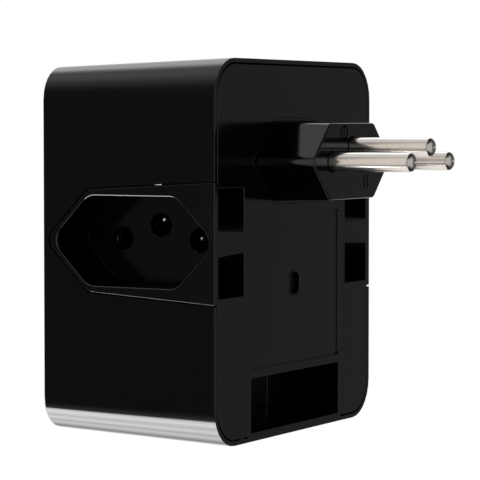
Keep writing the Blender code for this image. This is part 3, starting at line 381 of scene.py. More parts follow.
insulatorNylon = {
    "color": (0.62, 0.60, 0.54), "wornColor": (0.5, 0.47, 0.4), "dustColor": (0.3, 0.28, 0.25),
    "roughness": (0.42, 0.6), "scratchRoughness": 0.1, "grain": 1.0, "grainDepth": 6.0 * micron,
    "scratches": 0.3, "dust": 0.4,
}
relayBlue = dict(
    insulatorNylon, color=(0.03, 0.08, 0.3), wornColor=(0.05, 0.11, 0.36), roughness=(0.3, 0.42),
)
epoxyBlue = dict(
    insulatorNylon, color=(0.05, 0.2, 0.5), wornColor=(0.03, 0.13, 0.38), roughness=(0.25, 0.5),
)
canBlack = dict(
    insulatorNylon, color=(0.02, 0.02, 0.03), wornColor=(0.045, 0.045, 0.06), roughness=(0.3, 0.45),
)
maskGreen = {
    "color": (0.01, 0.11, 0.045), "traceColor": (0.02, 0.2, 0.085), "padColor": (0.5, 0.42, 0.25),
    "traceScale": 420.0, "trace": (0.1, 0.07), "padScale": 294.0, "pad": (0.2, 0.17),
    "blotchNoise": (500.0, 3.0), "roughness": (0.25, 0.4), "depth": 20.0 * micron,
}
# painted shade: the grooves between the turns are coloured dark as shade
copperTurns = {
    "color": (0.62, 0.26, 0.1), "grooveShadeColor": (0.12, 0.04, 0.015), "turnScale": 1400.0, "distortion": 0.4,
    "varnishNoise": (300.0, 3.0), "varnish": (0.2, 0.8, 0.7, 1.0), "roughness": (0.22, 0.4),
    "depth": 60.0 * micron,
}
lightGuide = {
    "color": (0.78, 0.82, 0.85), "frostColor": (0.6, 0.63, 0.66), "frostNoise": (900.0, 4.0, 0.6),
    "roughness": (0.12, 0.3), "transmission": 0.55, "depth": 2.0 * micron,
}


def makeBoardMask(name, values):
    # solder mask over a net of traces, with tinned pads here and there
    material, tree, shader, place = startMaterial(name)
    cells = addCells(tree, place, "DISTANCE_TO_EDGE", values["traceScale"])
    trace = addRange(tree, cells.outputs["Distance"], *values["trace"])
    dots = addCells(tree, place, "F1", values["padScale"])
    pad = addRange(tree, dots.outputs["Distance"], *values["pad"])
    base = addMix(tree, trace, values["color"], values["traceColor"])
    base = addMix(tree, pad, base, values["padColor"])
    tree.links.new(base, shader.inputs["Base Color"])
    rough = addRange(tree, addNoise(tree, place, *values["blotchNoise"]), *usualSpread, *values["roughness"])
    tree.links.new(rough, shader.inputs["Roughness"])
    addBump(tree, shader, addMath(tree, "MAXIMUM", trace, pad), values["depth"])
    return material


def makeWinding(name, values):
    material, tree, shader, place = startMaterial(name)
    wave = addNode(
        tree, "ShaderNodeTexWave", {"wave_type": "BANDS", "bands_direction": "Y"},
        {"Scale": values["turnScale"], "Distortion": values["distortion"], "Detail": 2.0},
    )
    tree.links.new(place, wave.inputs["Vector"])
    varnish = addNoise(tree, place, *values["varnishNoise"])
    turn = addMath(tree, "MULTIPLY", wave.outputs["Fac"], addRange(tree, varnish, *values["varnish"]))
    # painted shade: the colour darkens where the bands dip into the grooves between turns
    tree.links.new(addMix(tree, turn, values["grooveShadeColor"], values["color"]), shader.inputs["Base Color"])
    rough = addRange(tree, varnish, *usualSpread, *values["roughness"])
    tree.links.new(rough, shader.inputs["Roughness"])
    addBump(tree, shader, turn, values["depth"])
    return material


def makeLightGuide(name, values):
    material, tree, shader, place = startMaterial(name)
    shader.inputs["Transmission Weight"].default_value = values["transmission"]
    frost = addNoise(tree, place, *values["frostNoise"])
    base = addMix(tree, frost, values["color"], values["frostColor"])
    tree.links.new(base, shader.inputs["Base Color"])
    rough = addRange(tree, frost, *usualSpread, *values["roughness"])
    tree.links.new(rough, shader.inputs["Roughness"])
    addBump(tree, shader, frost, values["depth"])
    return material


finishes = {
    "gloss_black": makeCasePlastic("caseGlossBlack", glossBlack),
    "matte_black": makeCasePlastic("chassisMattBlackShadedRecess", recessShadeBlack),
    "nickel": makeMetal("nickelPlate", nickelPlate),
    "brass": makeMetal("springBrass", springBrass),
    "steel": makeMetal("zincSteel", zincSteel),
    "tinned_cover": makeMetal("tinPlate", tinPlate),
    "insulator": makeCasePlastic("insulatorNylon", insulatorNylon),
    "relay_case": makeCasePlastic("relayBlue", relayBlue),
    "epoxy": makeCasePlastic("epoxyBlue", epoxyBlue),
    "capacitor_can": makeCasePlastic("canBlack", canBlack),
    "circuit_board": makeBoardMask("maskGreen", maskGreen),
    "winding": makeWinding("copperTurns", copperTurns),
    "light_guide": makeLightGuide("lightGuide", lightGuide),
}
noseFinish = makeCasePlastic("noseMattBlack", noseBlack)
buttonFinish = makeCasePlastic("buttonBlack", buttonBlack)
shadedContactFinish = makeMetal("platedContact", platedContact)
catchFinish = makeMetal("catchSpring", catchSpring)
print("finishes built")

slotOfNode = {}
for label, cadNode in nodes.items():
    slotOfNode[label] = cadNode.material_slots[0].material.name.split(".")[0]
    for materialSlot in cadNode.material_slots:
        materialSlot.material = finishes[slotOfNode[label]]


# mesh helpers

bevelSteps = 2
yAxis = (0, 1, 0)
fullTurn = {"cent": (0, 0, 0), "axis": (0, 0, 1), "angle": math.tau, "use_merge": True}


def finishPiece(bm, name, body, material, stands, smoothAngle):
    mesh = bpy.data.meshes.new(name)
    bm.to_mesh(mesh)
    bm.free()
    mesh.materials.append(material)
    mesh.shade_smooth()
    mesh.set_sharp_from_angle(angle=math.radians(smoothAngle))
    piece = bpy.data.objects.new(name, mesh)
    bpy.context.scene.collection.objects.link(piece)
    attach(piece, body)
    if stands:
        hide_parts(*stands)
    return piece


def softenedCopy(node, values):
    # a merged copy of a CAD node whose sharp edges get a small moulded radius
    bm = bmesh.new()
    bm.from_mesh(nodes[node].data)
    bmesh.ops.remove_doubles(bm, verts=bm.verts, dist=values["weld"])
    bmesh.ops.dissolve_degenerate(bm, edges=bm.edges, dist=values["weld"])
    flat = math.radians(values["flatAngle"])
    bmesh.ops.dissolve_limit(
        bm, angle_limit=flat, use_dissolve_boundaries=False, verts=bm.verts, edges=bm.edges,
    )
    for radius, wanted in values["passes"]:
        picked = [edge for edge in bm.edges if isSharp(edge, values["sharpAngle"]) and wanted(edge)]
        bmesh.ops.bevel(
            bm, geom=picked, offset=radius, offset_type="OFFSET", segments=bevelSteps, profile=0.5,
            affect="EDGES", material=-1,
        )
    return bm


def isSharp(edge, angle):
    return len(edge.link_faces) == 2 and edge.calc_face_angle(0.0) > math.radians(angle)


def everyEdge(edge):
    return True


def onRecessRim(edge):
    # whether an edge lies between an outlet block's outer face and the recess cut into it
    if min(abs(vert.co.x) for vert in edge.verts) < outletPlace["rimReach"]:
        return False
    if max(vert.co.y for vert in edge.verts) > panelY - outletPlace["rearMargin"]:
        return False
    middle = (edge.verts[0].co + edge.verts[1].co) / 2
    inward = Vector((0, outletCentre.y - middle.y, outletCentre.z - middle.z)).normalized()
    isWall = any(face.normal.dot(inward) > outletPlace["wallShare"] for face in edge.link_faces)
    return isWall and any(abs(face.normal.x) > outletPlace["faceShare"] for face in edge.link_faces)


def offRecessFloor(edge):
    # whether an edge is clear of the recess's floor, whose border and holes stay crisp
    near, far = outletPlace["floor"]
    atFloor = all(near < abs(vert.co.x) < far for vert in edge.verts)
    return not (atFloor and max(vert.co.y for vert in edge.verts) < panelY - outletPlace["rearMargin"])


def offSlots(edge):
    # whether an edge is clear of the sleeve's slots, whose edges stay crisp
    middle = (edge.verts[0].co + edge.verts[1].co) / 2
    atSide = abs(middle.x) > outletPlace["rimReach"]
    return not (atSide and abs(middle.z - outletCentre.z) < outletPlace["slotHalf"])


def spunBody(profile, steps):
    # a turned body about +Z from (radius, height) pairs, first and last on the axis
    bm = bmesh.new()
    points = [bm.verts.new((radius, 0.0, height)) for radius, height in profile]
    edges = [bm.edges.new(pair) for pair in zip(points, points[1:])]
    bmesh.ops.spin(bm, geom=points + edges, steps=steps, **fullTurn)
    bmesh.ops.remove_doubles(bm, verts=bm.verts, dist=micron)
    bmesh.ops.recalc_face_normals(bm, faces=bm.faces)
    return bm


def arc(centre, radius, start, end, steps):
    # points along part of a circle, angles in degrees
    points = []
    for step in range(steps + 1):
        angle = math.radians(start + (end - start) * step / steps)
        points.append((centre[0] + radius * math.cos(angle), centre[1] + radius * math.sin(angle)))
    return points


def pointAlong(bm, axis, place):
    # turns a body made along +Z to run along an axis, and moves it into place
    turn = Vector((0, 0, 1)).rotation_difference(Vector(axis)).to_matrix().to_4x4()
    bmesh.ops.transform(bm, matrix=Matrix.Translation(Vector(place)) @ turn, verts=bm.verts)
    return bm


# case mouldings

# where the outlets' rims, floors and slots lie, and how square to them a face has to stand
outletPlace = {
    "rimReach": 30.0 * mm, "slotHalf": 14.5 * mm, "rearMargin": 1.0 * mm, "floor": (20.5 * mm, 24.0 * mm),
    "wallShare": 0.3, "faceShare": 0.9,
}
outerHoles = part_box("right_line_contact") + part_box("right_neutral_contact")
outletCentre = sum((Vector(corner) for corner in outerHoles), Vector()) / 4
mouldedEdges = {"flatAngle": 0.3, "sharpAngle": 32.0, "weld": 2 * micron, "smooth": 40.0}
caseEdges = {
    "outer_sleeve": dict(mouldedEdges, passes=[(0.12 * mm, offSlots)]),
    "rear_chassis": dict(
        mouldedEdges, sharpAngle=40.0, passes=[(0.28 * mm, onRecessRim), (0.16 * mm, offRecessFloor)],
    ),
    "plug_nose": dict(mouldedEdges, passes=[(0.15 * mm, everyEdge)]),
    "front_cover": dict(mouldedEdges, passes=[(0.1 * mm, everyEdge)]),
}


def buildCase():
    for node, values in caseEdges.items():
        body = softenedCopy(node, values)
        slot = slotOfNode[node]
        material = noseFinish if node == "plug_nose" else finishes[slot]
        name = node + "_moulding"
        piece = finishPiece(body, name, "plug_body", material, (node,), values["smooth"])
        if node == "plug_nose":
            buildMarks(piece)
        shade = piece.modifiers.new("flatFaces", "WEIGHTED_NORMAL")
        shade.keep_sharp = True


# plug pins

pinShape = {
    "radius": 2.0 * mm, "shankRadius": 1.6 * mm, "flangeRadius": 3.0 * mm, "flangeStart": 19.1 * mm,
    "flangeEnd": 20.1 * mm, "domeHeight": 1.3 * mm, "dimpleRadius": 0.6 * mm, "dimpleDepth": 0.3 * mm,
    "rimShare": 0.82, "rimDrop": 0.06 * mm, "floorShare": 0.45, "tipSteps": 12, "lathe": 96, "smooth": 38.0,
}


def buildPin(node):
    # a turned pin on a flanged shank, with a rounded tip and a centre dimple
    low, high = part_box(node)
    values = pinShape
    radius = values["radius"]
    rise = values["domeHeight"]
    length = high.y - low.y
    middle = (low + high) / 2
    dimple = values["dimpleRadius"]
    last = math.degrees(math.acos(dimple / radius))
    shoulder = length - rise * math.sin(math.radians(last))
    profile = [
        (0, 0), (values["shankRadius"], 0), (values["shankRadius"], values["flangeStart"]),
        (values["flangeRadius"], values["flangeStart"]), (values["flangeRadius"], values["flangeEnd"]),
        (radius, values["flangeEnd"]), (radius, shoulder),
    ]
    for x, y in arc((0, 0), 1.0, 0, last, values["tipSteps"])[1:]:
        profile.append((radius * x, shoulder + rise * y))
    width, top = profile[-1]
    floor = top - values["dimpleDepth"]
    profile += [(width * values["rimShare"], top - values["rimDrop"]), (width * values["floorShare"], floor)]
    profile.append((0, floor))
    bm = spunBody(profile, values["lathe"])
    pointAlong(bm, yAxis, (middle.x, low.y, middle.z))
    name = node + "_turned"
    finishPiece(bm, name, "plug_body", finishes["nickel"], (node,), values["smooth"])


# contacts behind the outlets

contactShape = {
    "outer": 3.3 * mm, "inner": 2.2 * mm, "length": 12.0 * mm, "flare": 0.4 * mm, "slit": 36.0, "steps": 40,
    "lip": 0.12 * mm, "smooth": 38.0,
    "membrane": 0.2 * mm, "membraneSteps": 48,
    # the grip dimple; its turns go with the holes from the user's side to the rear
    "dimple": 1.3 * mm, "dimpleRise": 0.85 * mm, "dimpleDepth": 3.2 * mm, "dimpleSteps": (32, 20),
    "dimpleTurns": (180.0, 26.0, 6.0), "holeStep": 9.0 * mm,
}


def contactTube(values):
    # a slit tube along +Z with a flared, rounded mouth at the start
    outer, inner, lip, length = values["outer"], values["inner"], values["lip"], values["length"]
    flare = values["flare"]
    profile = [
        (inner + flare, lip), (inner + flare + lip, 0), (outer - lip, 0), (outer, lip),
        (outer, length - lip), (outer - lip, length), (inner + lip, length),
        (inner, length - lip), (inner, flare * 2), (inner + flare / 2, flare),
    ]
    bm = bmesh.new()
    section = bm.faces.new([bm.verts.new((radius, 0.0, height)) for radius, height in profile])
    half = Matrix.Rotation(math.radians(values["slit"] / 2), 3, "Z")
    bmesh.ops.rotate(bm, cent=(0, 0, 0), matrix=half, verts=bm.verts)
    bmesh.ops.duplicate(bm, geom=[section])  # stays behind to close the slit's first side
    bmesh.ops.spin(
        bm, geom=[section], cent=(0, 0, 0), axis=(0, 0, 1),
        angle=math.radians(360.0 - values["slit"]), steps=values["steps"],
    )
    bmesh.ops.remove_doubles(bm, verts=bm.verts, dist=micron)
    bmesh.ops.recalc_face_normals(bm, faces=bm.faces)
    return bm


def buildContact(node, side):
    # a sprung tube in metal painted dark as shade, a bright dimple that grips the pin, and a thin membrane
    # over the inner end
    low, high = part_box(node)
    values = contactShape
    middle = (low + high) / 2
    mouth = high.x if side > 0 else low.x
    bm = contactTube(values)
    pointAlong(bm, (-side, 0, 0), (mouth, middle.y, middle.z))
    # the membrane stops light that would come through from the other outlet
    inside = mouth - side * (values["length"] - values["membrane"] * 2)
    flatWays = Matrix.Rotation(math.pi / 2, 4, "Y")
    radius = values["inner"] + values["lip"]
    disc = bmesh.ops.create_cone(
        bm, cap_ends=True, segments=values["membraneSteps"], radius1=radius, radius2=radius,
        depth=values["membrane"], matrix=Matrix.Translation((inside, middle.y, middle.z)) @ flatWays,
    )["verts"]
    order = 1 + round((middle.y - outletCentre.y) / values["holeStep"])
    turn = math.radians(values["dimpleTurns"][order])
    reach = values["inner"] + values["dimple"] - values["dimpleRise"]
    rings, rows = values["dimpleSteps"]
    place = Vector((mouth - side * values["dimpleDepth"], middle.y, middle.z))
    place += Vector((0, -reach * math.cos(turn), reach * math.sin(turn)))
    ball = bmesh.ops.create_uvsphere(
        bm, u_segments=rings, v_segments=rows, radius=values["dimple"], matrix=Matrix.Translation(place),
    )["verts"]
    # the tube keeps the dark painted-shade metal, the dimple takes the bright catch metal and the membrane
    # the black plastic
    for index, verts in ((1, ball), (2, disc)):
        for vert in verts:
            for face in vert.link_faces:
                face.material_index = index
    name = node + "_sprung"
    piece = finishPiece(bm, name, "plug_body", shadedContactFinish, (node,), values["smooth"])
    piece.data.materials.append(catchFinish)
    piece.data.materials.append(noseFinish)


# screw in the rear panel

screwShape = {
    "headRadius": 2.3 * mm, "headHeight": 1.8 * mm, "shankRadius": 1.5 * mm, "rim": 0.35 * mm, "rimSteps": 5,
    "slotLength": 2.5 * mm, "slotWidth": 0.5 * mm, "slotDepth": 0.9 * mm, "slotTurn": 0.5,
    "threadPitch": 0.8 * mm, "threadDepth": 0.18 * mm, "tipShare": 0.5, "coneShare": 0.72, "crownShare": 0.5,
    "lathe": 48, "smooth": 38.0,
}


def buildScrew():
    # a pan head with a crosshead recess made of two crossed bars, and a thread under it
    low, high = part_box("chassis_screw")
    values = screwShape
    middle = (low + high) / 2
    length = high.y - low.y
    head, rim, shank = values["headRadius"], values["rim"], values["shankRadius"]
    pitch, root = values["threadPitch"], shank - values["threadDepth"]
    profile = [(0, 0), (shank * values["tipShare"], 0), (shank * values["coneShare"], pitch / 2)]
    height = pitch
    neck = length - values["headHeight"]
    while height < neck - pitch:
        profile += [(root, height), (shank, height + pitch / 2)]
        height += pitch
    profile += [(root, neck), (head, neck), (head, length - rim)]
    profile += arc((head - rim, length - rim), rim, 0, 90, values["rimSteps"])[1:]
    profile += [(head * values["crownShare"], length), (0, length)]
    bm = spunBody(profile, values["lathe"])
    pointAlong(bm, yAxis, (middle.x, low.y, middle.z))
    name, stands = "chassis_screw_turned", ("chassis_screw",)
    screw = finishPiece(bm, name, "plug_body", finishes["steel"], stands, values["smooth"])
    for turn in (values["slotTurn"], values["slotTurn"] + math.pi / 2):
        bar = bmesh.new()
        bmesh.ops.create_cube(bar, size=1.0)
        size = (values["slotLength"], values["slotDepth"] * 2, values["slotWidth"])
        bmesh.ops.scale(bar, vec=size, verts=bar.verts)
        bmesh.ops.rotate(bar, cent=(0, 0, 0), matrix=Matrix.Rotation(turn, 3, "Y"), verts=bar.verts)
        bmesh.ops.translate(bar, vec=(middle.x, high.y, middle.z), verts=bar.verts)
        cutPiece(screw, bar)


screwLip = {
    "radius": 2.34 * mm, "tube": 0.2 * mm, "floorDepth": 0.5 * mm, "sink": 0.1 * mm, "tubeSteps": 16,
    "lathe": 64, "smooth": 60.0,
}


def buildScrewLip():
    # a rounded lip around the screw's bore, mostly sunk into the label recess's floor
    low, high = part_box("chassis_screw")
    values = screwLip
    tube = values["tube"]
    bm = bmesh.new()
    ring = bmesh.ops.create_circle(bm, cap_ends=False, segments=values["tubeSteps"], radius=tube)["verts"]
    bmesh.ops.rotate(bm, cent=(0, 0, 0), matrix=Matrix.Rotation(math.pi / 2, 3, "X"), verts=ring)
    bmesh.ops.translate(bm, vec=(values["radius"] + tube, 0, 0), verts=ring)
    bmesh.ops.spin(bm, geom=bm.verts[:] + bm.edges[:], steps=values["lathe"], **fullTurn)
    bmesh.ops.remove_doubles(bm, verts=bm.verts, dist=micron)
    bmesh.ops.recalc_face_normals(bm, faces=bm.faces)
    middle = (low + high) / 2
    depth = values["floorDepth"] + values["sink"]
    pointAlong(bm, yAxis, (middle.x, panelY - depth, middle.z))
    finishPiece(bm, "screw_bore_lip", "plug_body", noseFinish, (), values["smooth"])


catchShape = {
    "radius": 0.2 * mm, "length": 1.6 * mm, "setback": 14.4 * mm, "drop": 25.85 * mm, "sink": 0.75 * mm,
    "rimShare": 0.3, "lathe": 24, "smooth": 40.0,
}


def buildCatch(side):
    # the end of the spring catch that holds the sleeve, seen in the gap above each outlet
    low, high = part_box("outer_sleeve")
    values = catchShape
    bm = bmesh.new()
    radius = values["radius"]
    bmesh.ops.create_cone(
        bm, cap_ends=True, segments=values["lathe"], radius1=radius, radius2=radius, depth=values["length"],
    )
    rims = [edge for edge in bm.edges if abs(edge.verts[0].co.z - edge.verts[1].co.z) < micron]
    bmesh.ops.bevel(
        bm, geom=rims, offset=radius * values["rimShare"], segments=bevelSteps, profile=0.5,
        affect="EDGES", material=-1,
    )
    y = high.y - values["setback"] + values["length"] / 2
    pointAlong(bm, yAxis, (side * (high.x - values["sink"]), y, high.z - values["drop"]))
    word = "right" if side > 0 else "left"
    finishPiece(bm, word + "_sleeve_catch", "plug_body", catchFinish, (), values["smooth"])


def cutPiece(piece, bar):
    # takes a solid away from a piece, with the result in the piece's own mesh
    mesh = bpy.data.meshes.new("cutter")
    bar.to_mesh(mesh)
    bar.free()
    cutter = bpy.data.objects.new("cutter", mesh)
    bpy.context.scene.collection.objects.link(cutter)
    modifier = piece.modifiers.new("cut", "BOOLEAN")
    modifier.operation = "DIFFERENCE"
    modifier.solver = "EXACT"
    modifier.object = cutter
    bpy.context.view_layer.update()
    shown = piece.evaluated_get(bpy.context.evaluated_depsgraph_get())
    result = bpy.data.meshes.new_from_object(shown)
    piece.modifiers.clear()
    piece.data = result
    bpy.data.objects.remove(cutter)


# button on the user's side

buttonShape = {
    "edge": 0.35 * mm, "edgeSteps": 6, "dish": 0.18 * mm, "dishShare": 0.93, "dishSteps": 8,
    "ringRadius": 4.9 * mm, "ringWidth": 0.35 * mm, "ringFloor": (0.6, 0.2), "ringDepth": 0.12 * mm,
    "radius": 6.0 * mm, "flangeRadius": 7.0 * mm, "face": 2.1 * mm, "flange": 0.8 * mm,
    "stemRadius": 1.5 * mm, "lathe": 96, "smooth": 30.0,
}


def buildButton():
    # a cap with a rounded rim, a shallow dish and a fine ring groove
    low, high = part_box("power_button")
    values = buttonShape
    middle = (low + high) / 2
    radius, edge, ring = values["radius"], values["edge"], values["ringRadius"]
    width, depth = values["ringWidth"], values["ringDepth"]
    far, near = values["ringFloor"]
    base, length = values["face"] + values["flange"], high.y - low.y
    profile = []
    for step in range(values["dishSteps"]):
        share = step / values["dishSteps"]
        profile.append((ring * values["dishShare"] * share, values["dish"] * (1 - share * share)))
    profile += [
        (ring - width, 0), (ring - width * far, depth), (ring - width * near, depth), (ring, 0),
        (radius - edge, 0),
    ]
    profile += [(x, edge + y) for x, y in arc((radius - edge, 0), edge, -90, 0, values["edgeSteps"])[1:]]
    profile += [
        (radius, values["face"]), (values["flangeRadius"], values["face"]), (values["flangeRadius"], base),
        (values["stemRadius"], base), (values["stemRadius"], length), (0, length),
    ]
    bm = spunBody(profile, values["lathe"])
    pointAlong(bm, yAxis, (middle.x, low.y, middle.z))
    name, stands = "power_button_cap", ("power_button",)
    finishPiece(bm, name, "button", buttonFinish, stands, values["smooth"])


# marks sunk into the nose's end face: a ring with a bar by the line pin, two bars by the neutral pin

markShape = {
    "depth": 0.45 * mm, "line": 0.5 * mm, "ring": (4.1 * mm, 6.1 * mm), "ringSize": (1.75 * mm, 1.6 * mm),
    "ringSteps": 36, "bars": (-6.2 * mm, -4.35 * mm), "barLength": 3.0 * mm, "barGap": 1.5 * mm,
    "crossBar": 1.7 * mm,
}


def buildMarks(nose):
    values = markShape
    line = values["line"]
    ring = bmesh.new()
    bmesh.ops.create_circle(ring, cap_ends=True, segments=values["ringSteps"], radius=1.0)
    bmesh.ops.scale(ring, vec=(*values["ringSize"], 1), verts=ring.verts)
    keepBorder(ring, line)
    sinkMark(nose, ring, values["ring"])
    sinkMark(nose, markBar(line, values["crossBar"]), values["ring"])
    for offset in (-0.5, 0.5):
        place = (values["bars"][0] + offset * values["barGap"], values["bars"][1])
        sinkMark(nose, markBar(line, values["barLength"]), place)


def keepBorder(bm, width):
    # leaves only a border of one flat face
    bm.normal_update()
    bmesh.ops.inset_region(bm, faces=bm.faces[:], thickness=width, use_boundary=True, use_even_offset=True)
    hub = max(bm.faces, key=lambda face: len(face.verts))
    bmesh.ops.delete(bm, geom=[hub], context="FACES_ONLY")


def thicken(bm, height):
    # makes a flat outline a solid, and gives the new end's corners
    grown = bmesh.ops.extrude_face_region(bm, geom=bm.faces[:])["geom"]
    top = [item for item in grown if isinstance(item, bmesh.types.BMVert)]
    bmesh.ops.translate(bm, vec=(0, 0, height), verts=top)
    return top


def markBar(width, length):
    bm = bmesh.new()
    bmesh.ops.create_grid(bm, x_segments=1, y_segments=1, size=0.5)
    bmesh.ops.scale(bm, vec=(width, length, 1), verts=bm.verts)
    return bm


def sinkMark(nose, bm, place):
    # makes an outline a solid on both sides of the end face, and takes it away from the nose
    depth = markShape["depth"]
    thicken(bm, depth * 2)
    bmesh.ops.recalc_face_normals(bm, faces=bm.faces)
    turn = Matrix.Rotation(-math.pi / 2, 4, "X")
    lift = Matrix.Translation((place[0], noseBox[1].y - depth, place[1]))
    bmesh.ops.transform(bm, matrix=lift @ turn, verts=bm.verts)
    cutPiece(nose, bm)


# seal that closes the gap around the nose's root

sealShape = {
    "flange": 1.5 * mm, "topHalf": 10.55 * mm, "corner": 0.9 * mm, "cornerSteps": 6, "cornerTurn": 22.5,
    "outer": 0.62 * mm, "inner": 0.02 * mm, "proud": 0.04 * mm, "deep": 0.5 * mm, "edge": 0.03 * mm,
    "rimAngle": 60.0, "smooth": 40.0,
}


def buildNoseSeal():
    # a hexagonal ring with rounded corners and a bevelled outer rim
    values = sealShape
    rise = noseBox[1].z - values["flange"] + values["outer"]
    flat = values["topHalf"] + values["outer"] * math.tan(math.radians(values["cornerTurn"]))
    tip = flat + rise
    corners = [(flat, rise), (-flat, rise), (-tip, 0), (-flat, -rise), (flat, -rise), (tip, 0)]
    bm = bmesh.new()
    bm.faces.new([bm.verts.new((x, z, 0)) for x, z in corners])
    bmesh.ops.bevel(
        bm, geom=bm.verts[:], offset=values["corner"], offset_type="OFFSET", segments=values["cornerSteps"],
        profile=0.5, affect="VERTICES", material=-1,
    )
    keepBorder(bm, values["outer"] - values["inner"])
    top = set(thicken(bm, values["proud"] + values["deep"]))
    rims = [edge for edge in bm.edges if top.issuperset(edge.verts) and isSharp(edge, values["rimAngle"])]
    bmesh.ops.bevel(
        bm, geom=rims, offset=values["edge"], segments=bevelSteps, profile=0.5, affect="EDGES", material=-1,
    )
    bmesh.ops.recalc_face_normals(bm, faces=bm.faces)
    turn = Matrix.Rotation(-math.pi / 2, 4, "X")
    lift = Matrix.Translation((0, panelY - values["deep"], 0))
    bmesh.ops.transform(bm, matrix=lift @ turn, verts=bm.verts)
    finishPiece(bm, "nose_seal", "plug_body", noseFinish, (), values["smooth"])


buildCase()
buildNoseSeal()
print("case mouldings built")
for pinNode in ("line_pin", "earth_pin", "neutral_pin"):
    buildPin(pinNode)
for word, side in (("left", -1), ("right", 1)):
    for role in ("line", "earth", "neutral"):
        buildContact(f"{word}_{role}_contact", side)
print("pins and contacts built")
buildScrew()
buildScrewLip()
for side in (-1, 1):
    buildCatch(side)
buildButton()
print("screw and button built")


# camera, light and floor

view = {
    "place": (0.45994, 0.22766, 0.00924), "tilt": 87.1, "turn": 119.0, "lens": 181.68, "sensor": 36.0,
    "clip": (0.01, 20.0),
}
studio = {
    # light from the front half of the room by its height, in degrees about the pins' direction
    "front": [(-180, 0.8), (-168, 0.9), (-142, 1.1), (-123, 0.9), (-93, 1.2), (-63, 1.1), (-48, 0.9),
              (-38, 0.35), (-26, 0.12), (-20, 0.085), (0, 0.1), (26, 0.12), (38, 0.2), (50, 0.4),
              (62, 0.6), (75, 0.85), (87, 0.85), (99, 0.65), (111, 1.2), (123, 2.1), (135, 1.7),
              (148, 1.0), (160, 1.1), (172, 0.8), (180, 0.8)],
    # light from behind the rear panel by the sine of its height, on the far side and on the near side
    "rear": [(-1.0, 0.04), (-0.6, 0.05), (-0.35, 0.14), (0.1, 0.135), (0.35, 0.12), (0.6, 0.05),
             (1.0, 0.04)],
    "rightRear": [(-1.0, 0.02), (-0.75, 0.02), (-0.45, 0.6), (0.45, 0.6), (0.75, 0.02), (1.0, 0.02)],
    # where one side gives way to the next, and how far the rear light reaches round on the far side
    "rightFrom": (-0.62, -0.25), "rearFrom": (0.0, 0.25), "farReach": (0.3, -0.5, 0.0, 0.25),
    "diffuseShare": 0.05, "strongest": 14.0, "backdrop": 1.0,
}
cards = {
    # a long soft light under the user's side, brightness by distance across it
    "under": {"across": (5 * mm, 71 * mm), "along": (-110 * mm, -31 * mm), "height": -88 * mm,
              "profile": [(0.0, 1.3), (0.15, 2.9), (0.27, 5.3), (0.38, 5.0), (0.49, 9.6), (0.62, 8.4),
                          (0.78, 13.5), (0.93, 11.0), (1.0, 3.0)]},
    # a warm card beside the pins
    "side": {"distance": 120 * mm, "across": (7 * mm, 64 * mm), "low": -62 * mm, "high": 150 * mm,
             "level": 0.9, "warmth": (1.0, 0.955, 0.905)},
}
floorShape = {"radius": 3.0, "drop": 0.2 * mm, "steps": 64}


def buildCamera():
    lens = bpy.data.cameras.new("mainCamera")
    lens.lens = view["lens"]
    lens.sensor_width = view["sensor"]
    lens.clip_start, lens.clip_end = view["clip"]
    camera = bpy.data.objects.new("mainCamera", lens)
    camera.location = view["place"]
    camera.rotation_euler = (math.radians(view["tilt"]), 0, math.radians(view["turn"]))
    bpy.context.scene.collection.objects.link(camera)
    bpy.context.scene.camera = camera


def fillRamp(tree, factor, stops, low, high):
    ramp = tree.nodes.new("ShaderNodeValToRGB")
    elements = ramp.color_ramp.elements
    elements.remove(elements[1])
    for index, (place, value) in enumerate(stops):
        share = (place - low) / (high - low)
        element = elements[0] if index == 0 else elements.new(share)
        element.position = share
        level = value / studio["strongest"]
        element.color = (level, level, level, 1.0)
    tree.links.new(factor, ramp.inputs["Fac"])
    return ramp.outputs["Color"]


def buildRoom():
    world = bpy.data.worlds.new("studioRoom")
    world.use_nodes = True
    bpy.context.scene.world = world
    tree = world.node_tree
    tree.nodes.clear()
    direction = tree.nodes.new("ShaderNodeTexCoord").outputs["Generated"]
    split = tree.nodes.new("ShaderNodeSeparateXYZ")
    tree.links.new(direction, split.inputs[0])
    x, y, z = split.outputs
    angle = addRange(tree, addMath(tree, "ARCTAN2", z, x), -math.pi, math.pi)
    height = addRange(tree, z, -1.0, 1.0)
    front = fillRamp(tree, angle, studio["front"], -180, 180)
    rear = fillRamp(tree, height, studio["rear"], -1.0, 1.0)
    rightRear = fillRamp(tree, height, studio["rightRear"], -1.0, 1.0)
    rear = addMix(tree, addRange(tree, x, *studio["rightFrom"], smooth=True), rear, rightRear)
    reach = addMath(tree, "ADD", y, addRange(tree, x, *studio["farReach"]))
    around = addMix(tree, addRange(tree, reach, *studio["rearFrom"], smooth=True), front, rear)
    lit = tree.nodes.new("ShaderNodeBackground")
    rays = tree.nodes.new("ShaderNodeLightPath")
    full = studio["strongest"]
    strength = addRange(tree, rays.outputs["Is Diffuse Ray"], 0, 1, full, full * studio["diffuseShare"])
    tree.links.new(strength, lit.inputs["Strength"])
    tree.links.new(around, lit.inputs["Color"])
    white = {"Color": (1, 1, 1, 1), "Strength": studio["backdrop"]}
    plain = addNode(tree, "ShaderNodeBackground", None, white)
    choose = tree.nodes.new("ShaderNodeMixShader")
    tree.links.new(rays.outputs["Is Camera Ray"], choose.inputs["Fac"])
    tree.links.new(lit.outputs[0], choose.inputs[1])
    tree.links.new(plain.outputs[0], choose.inputs[2])
    out = tree.nodes.new("ShaderNodeOutputWorld")
    tree.links.new(choose.outputs[0], out.inputs["Surface"])


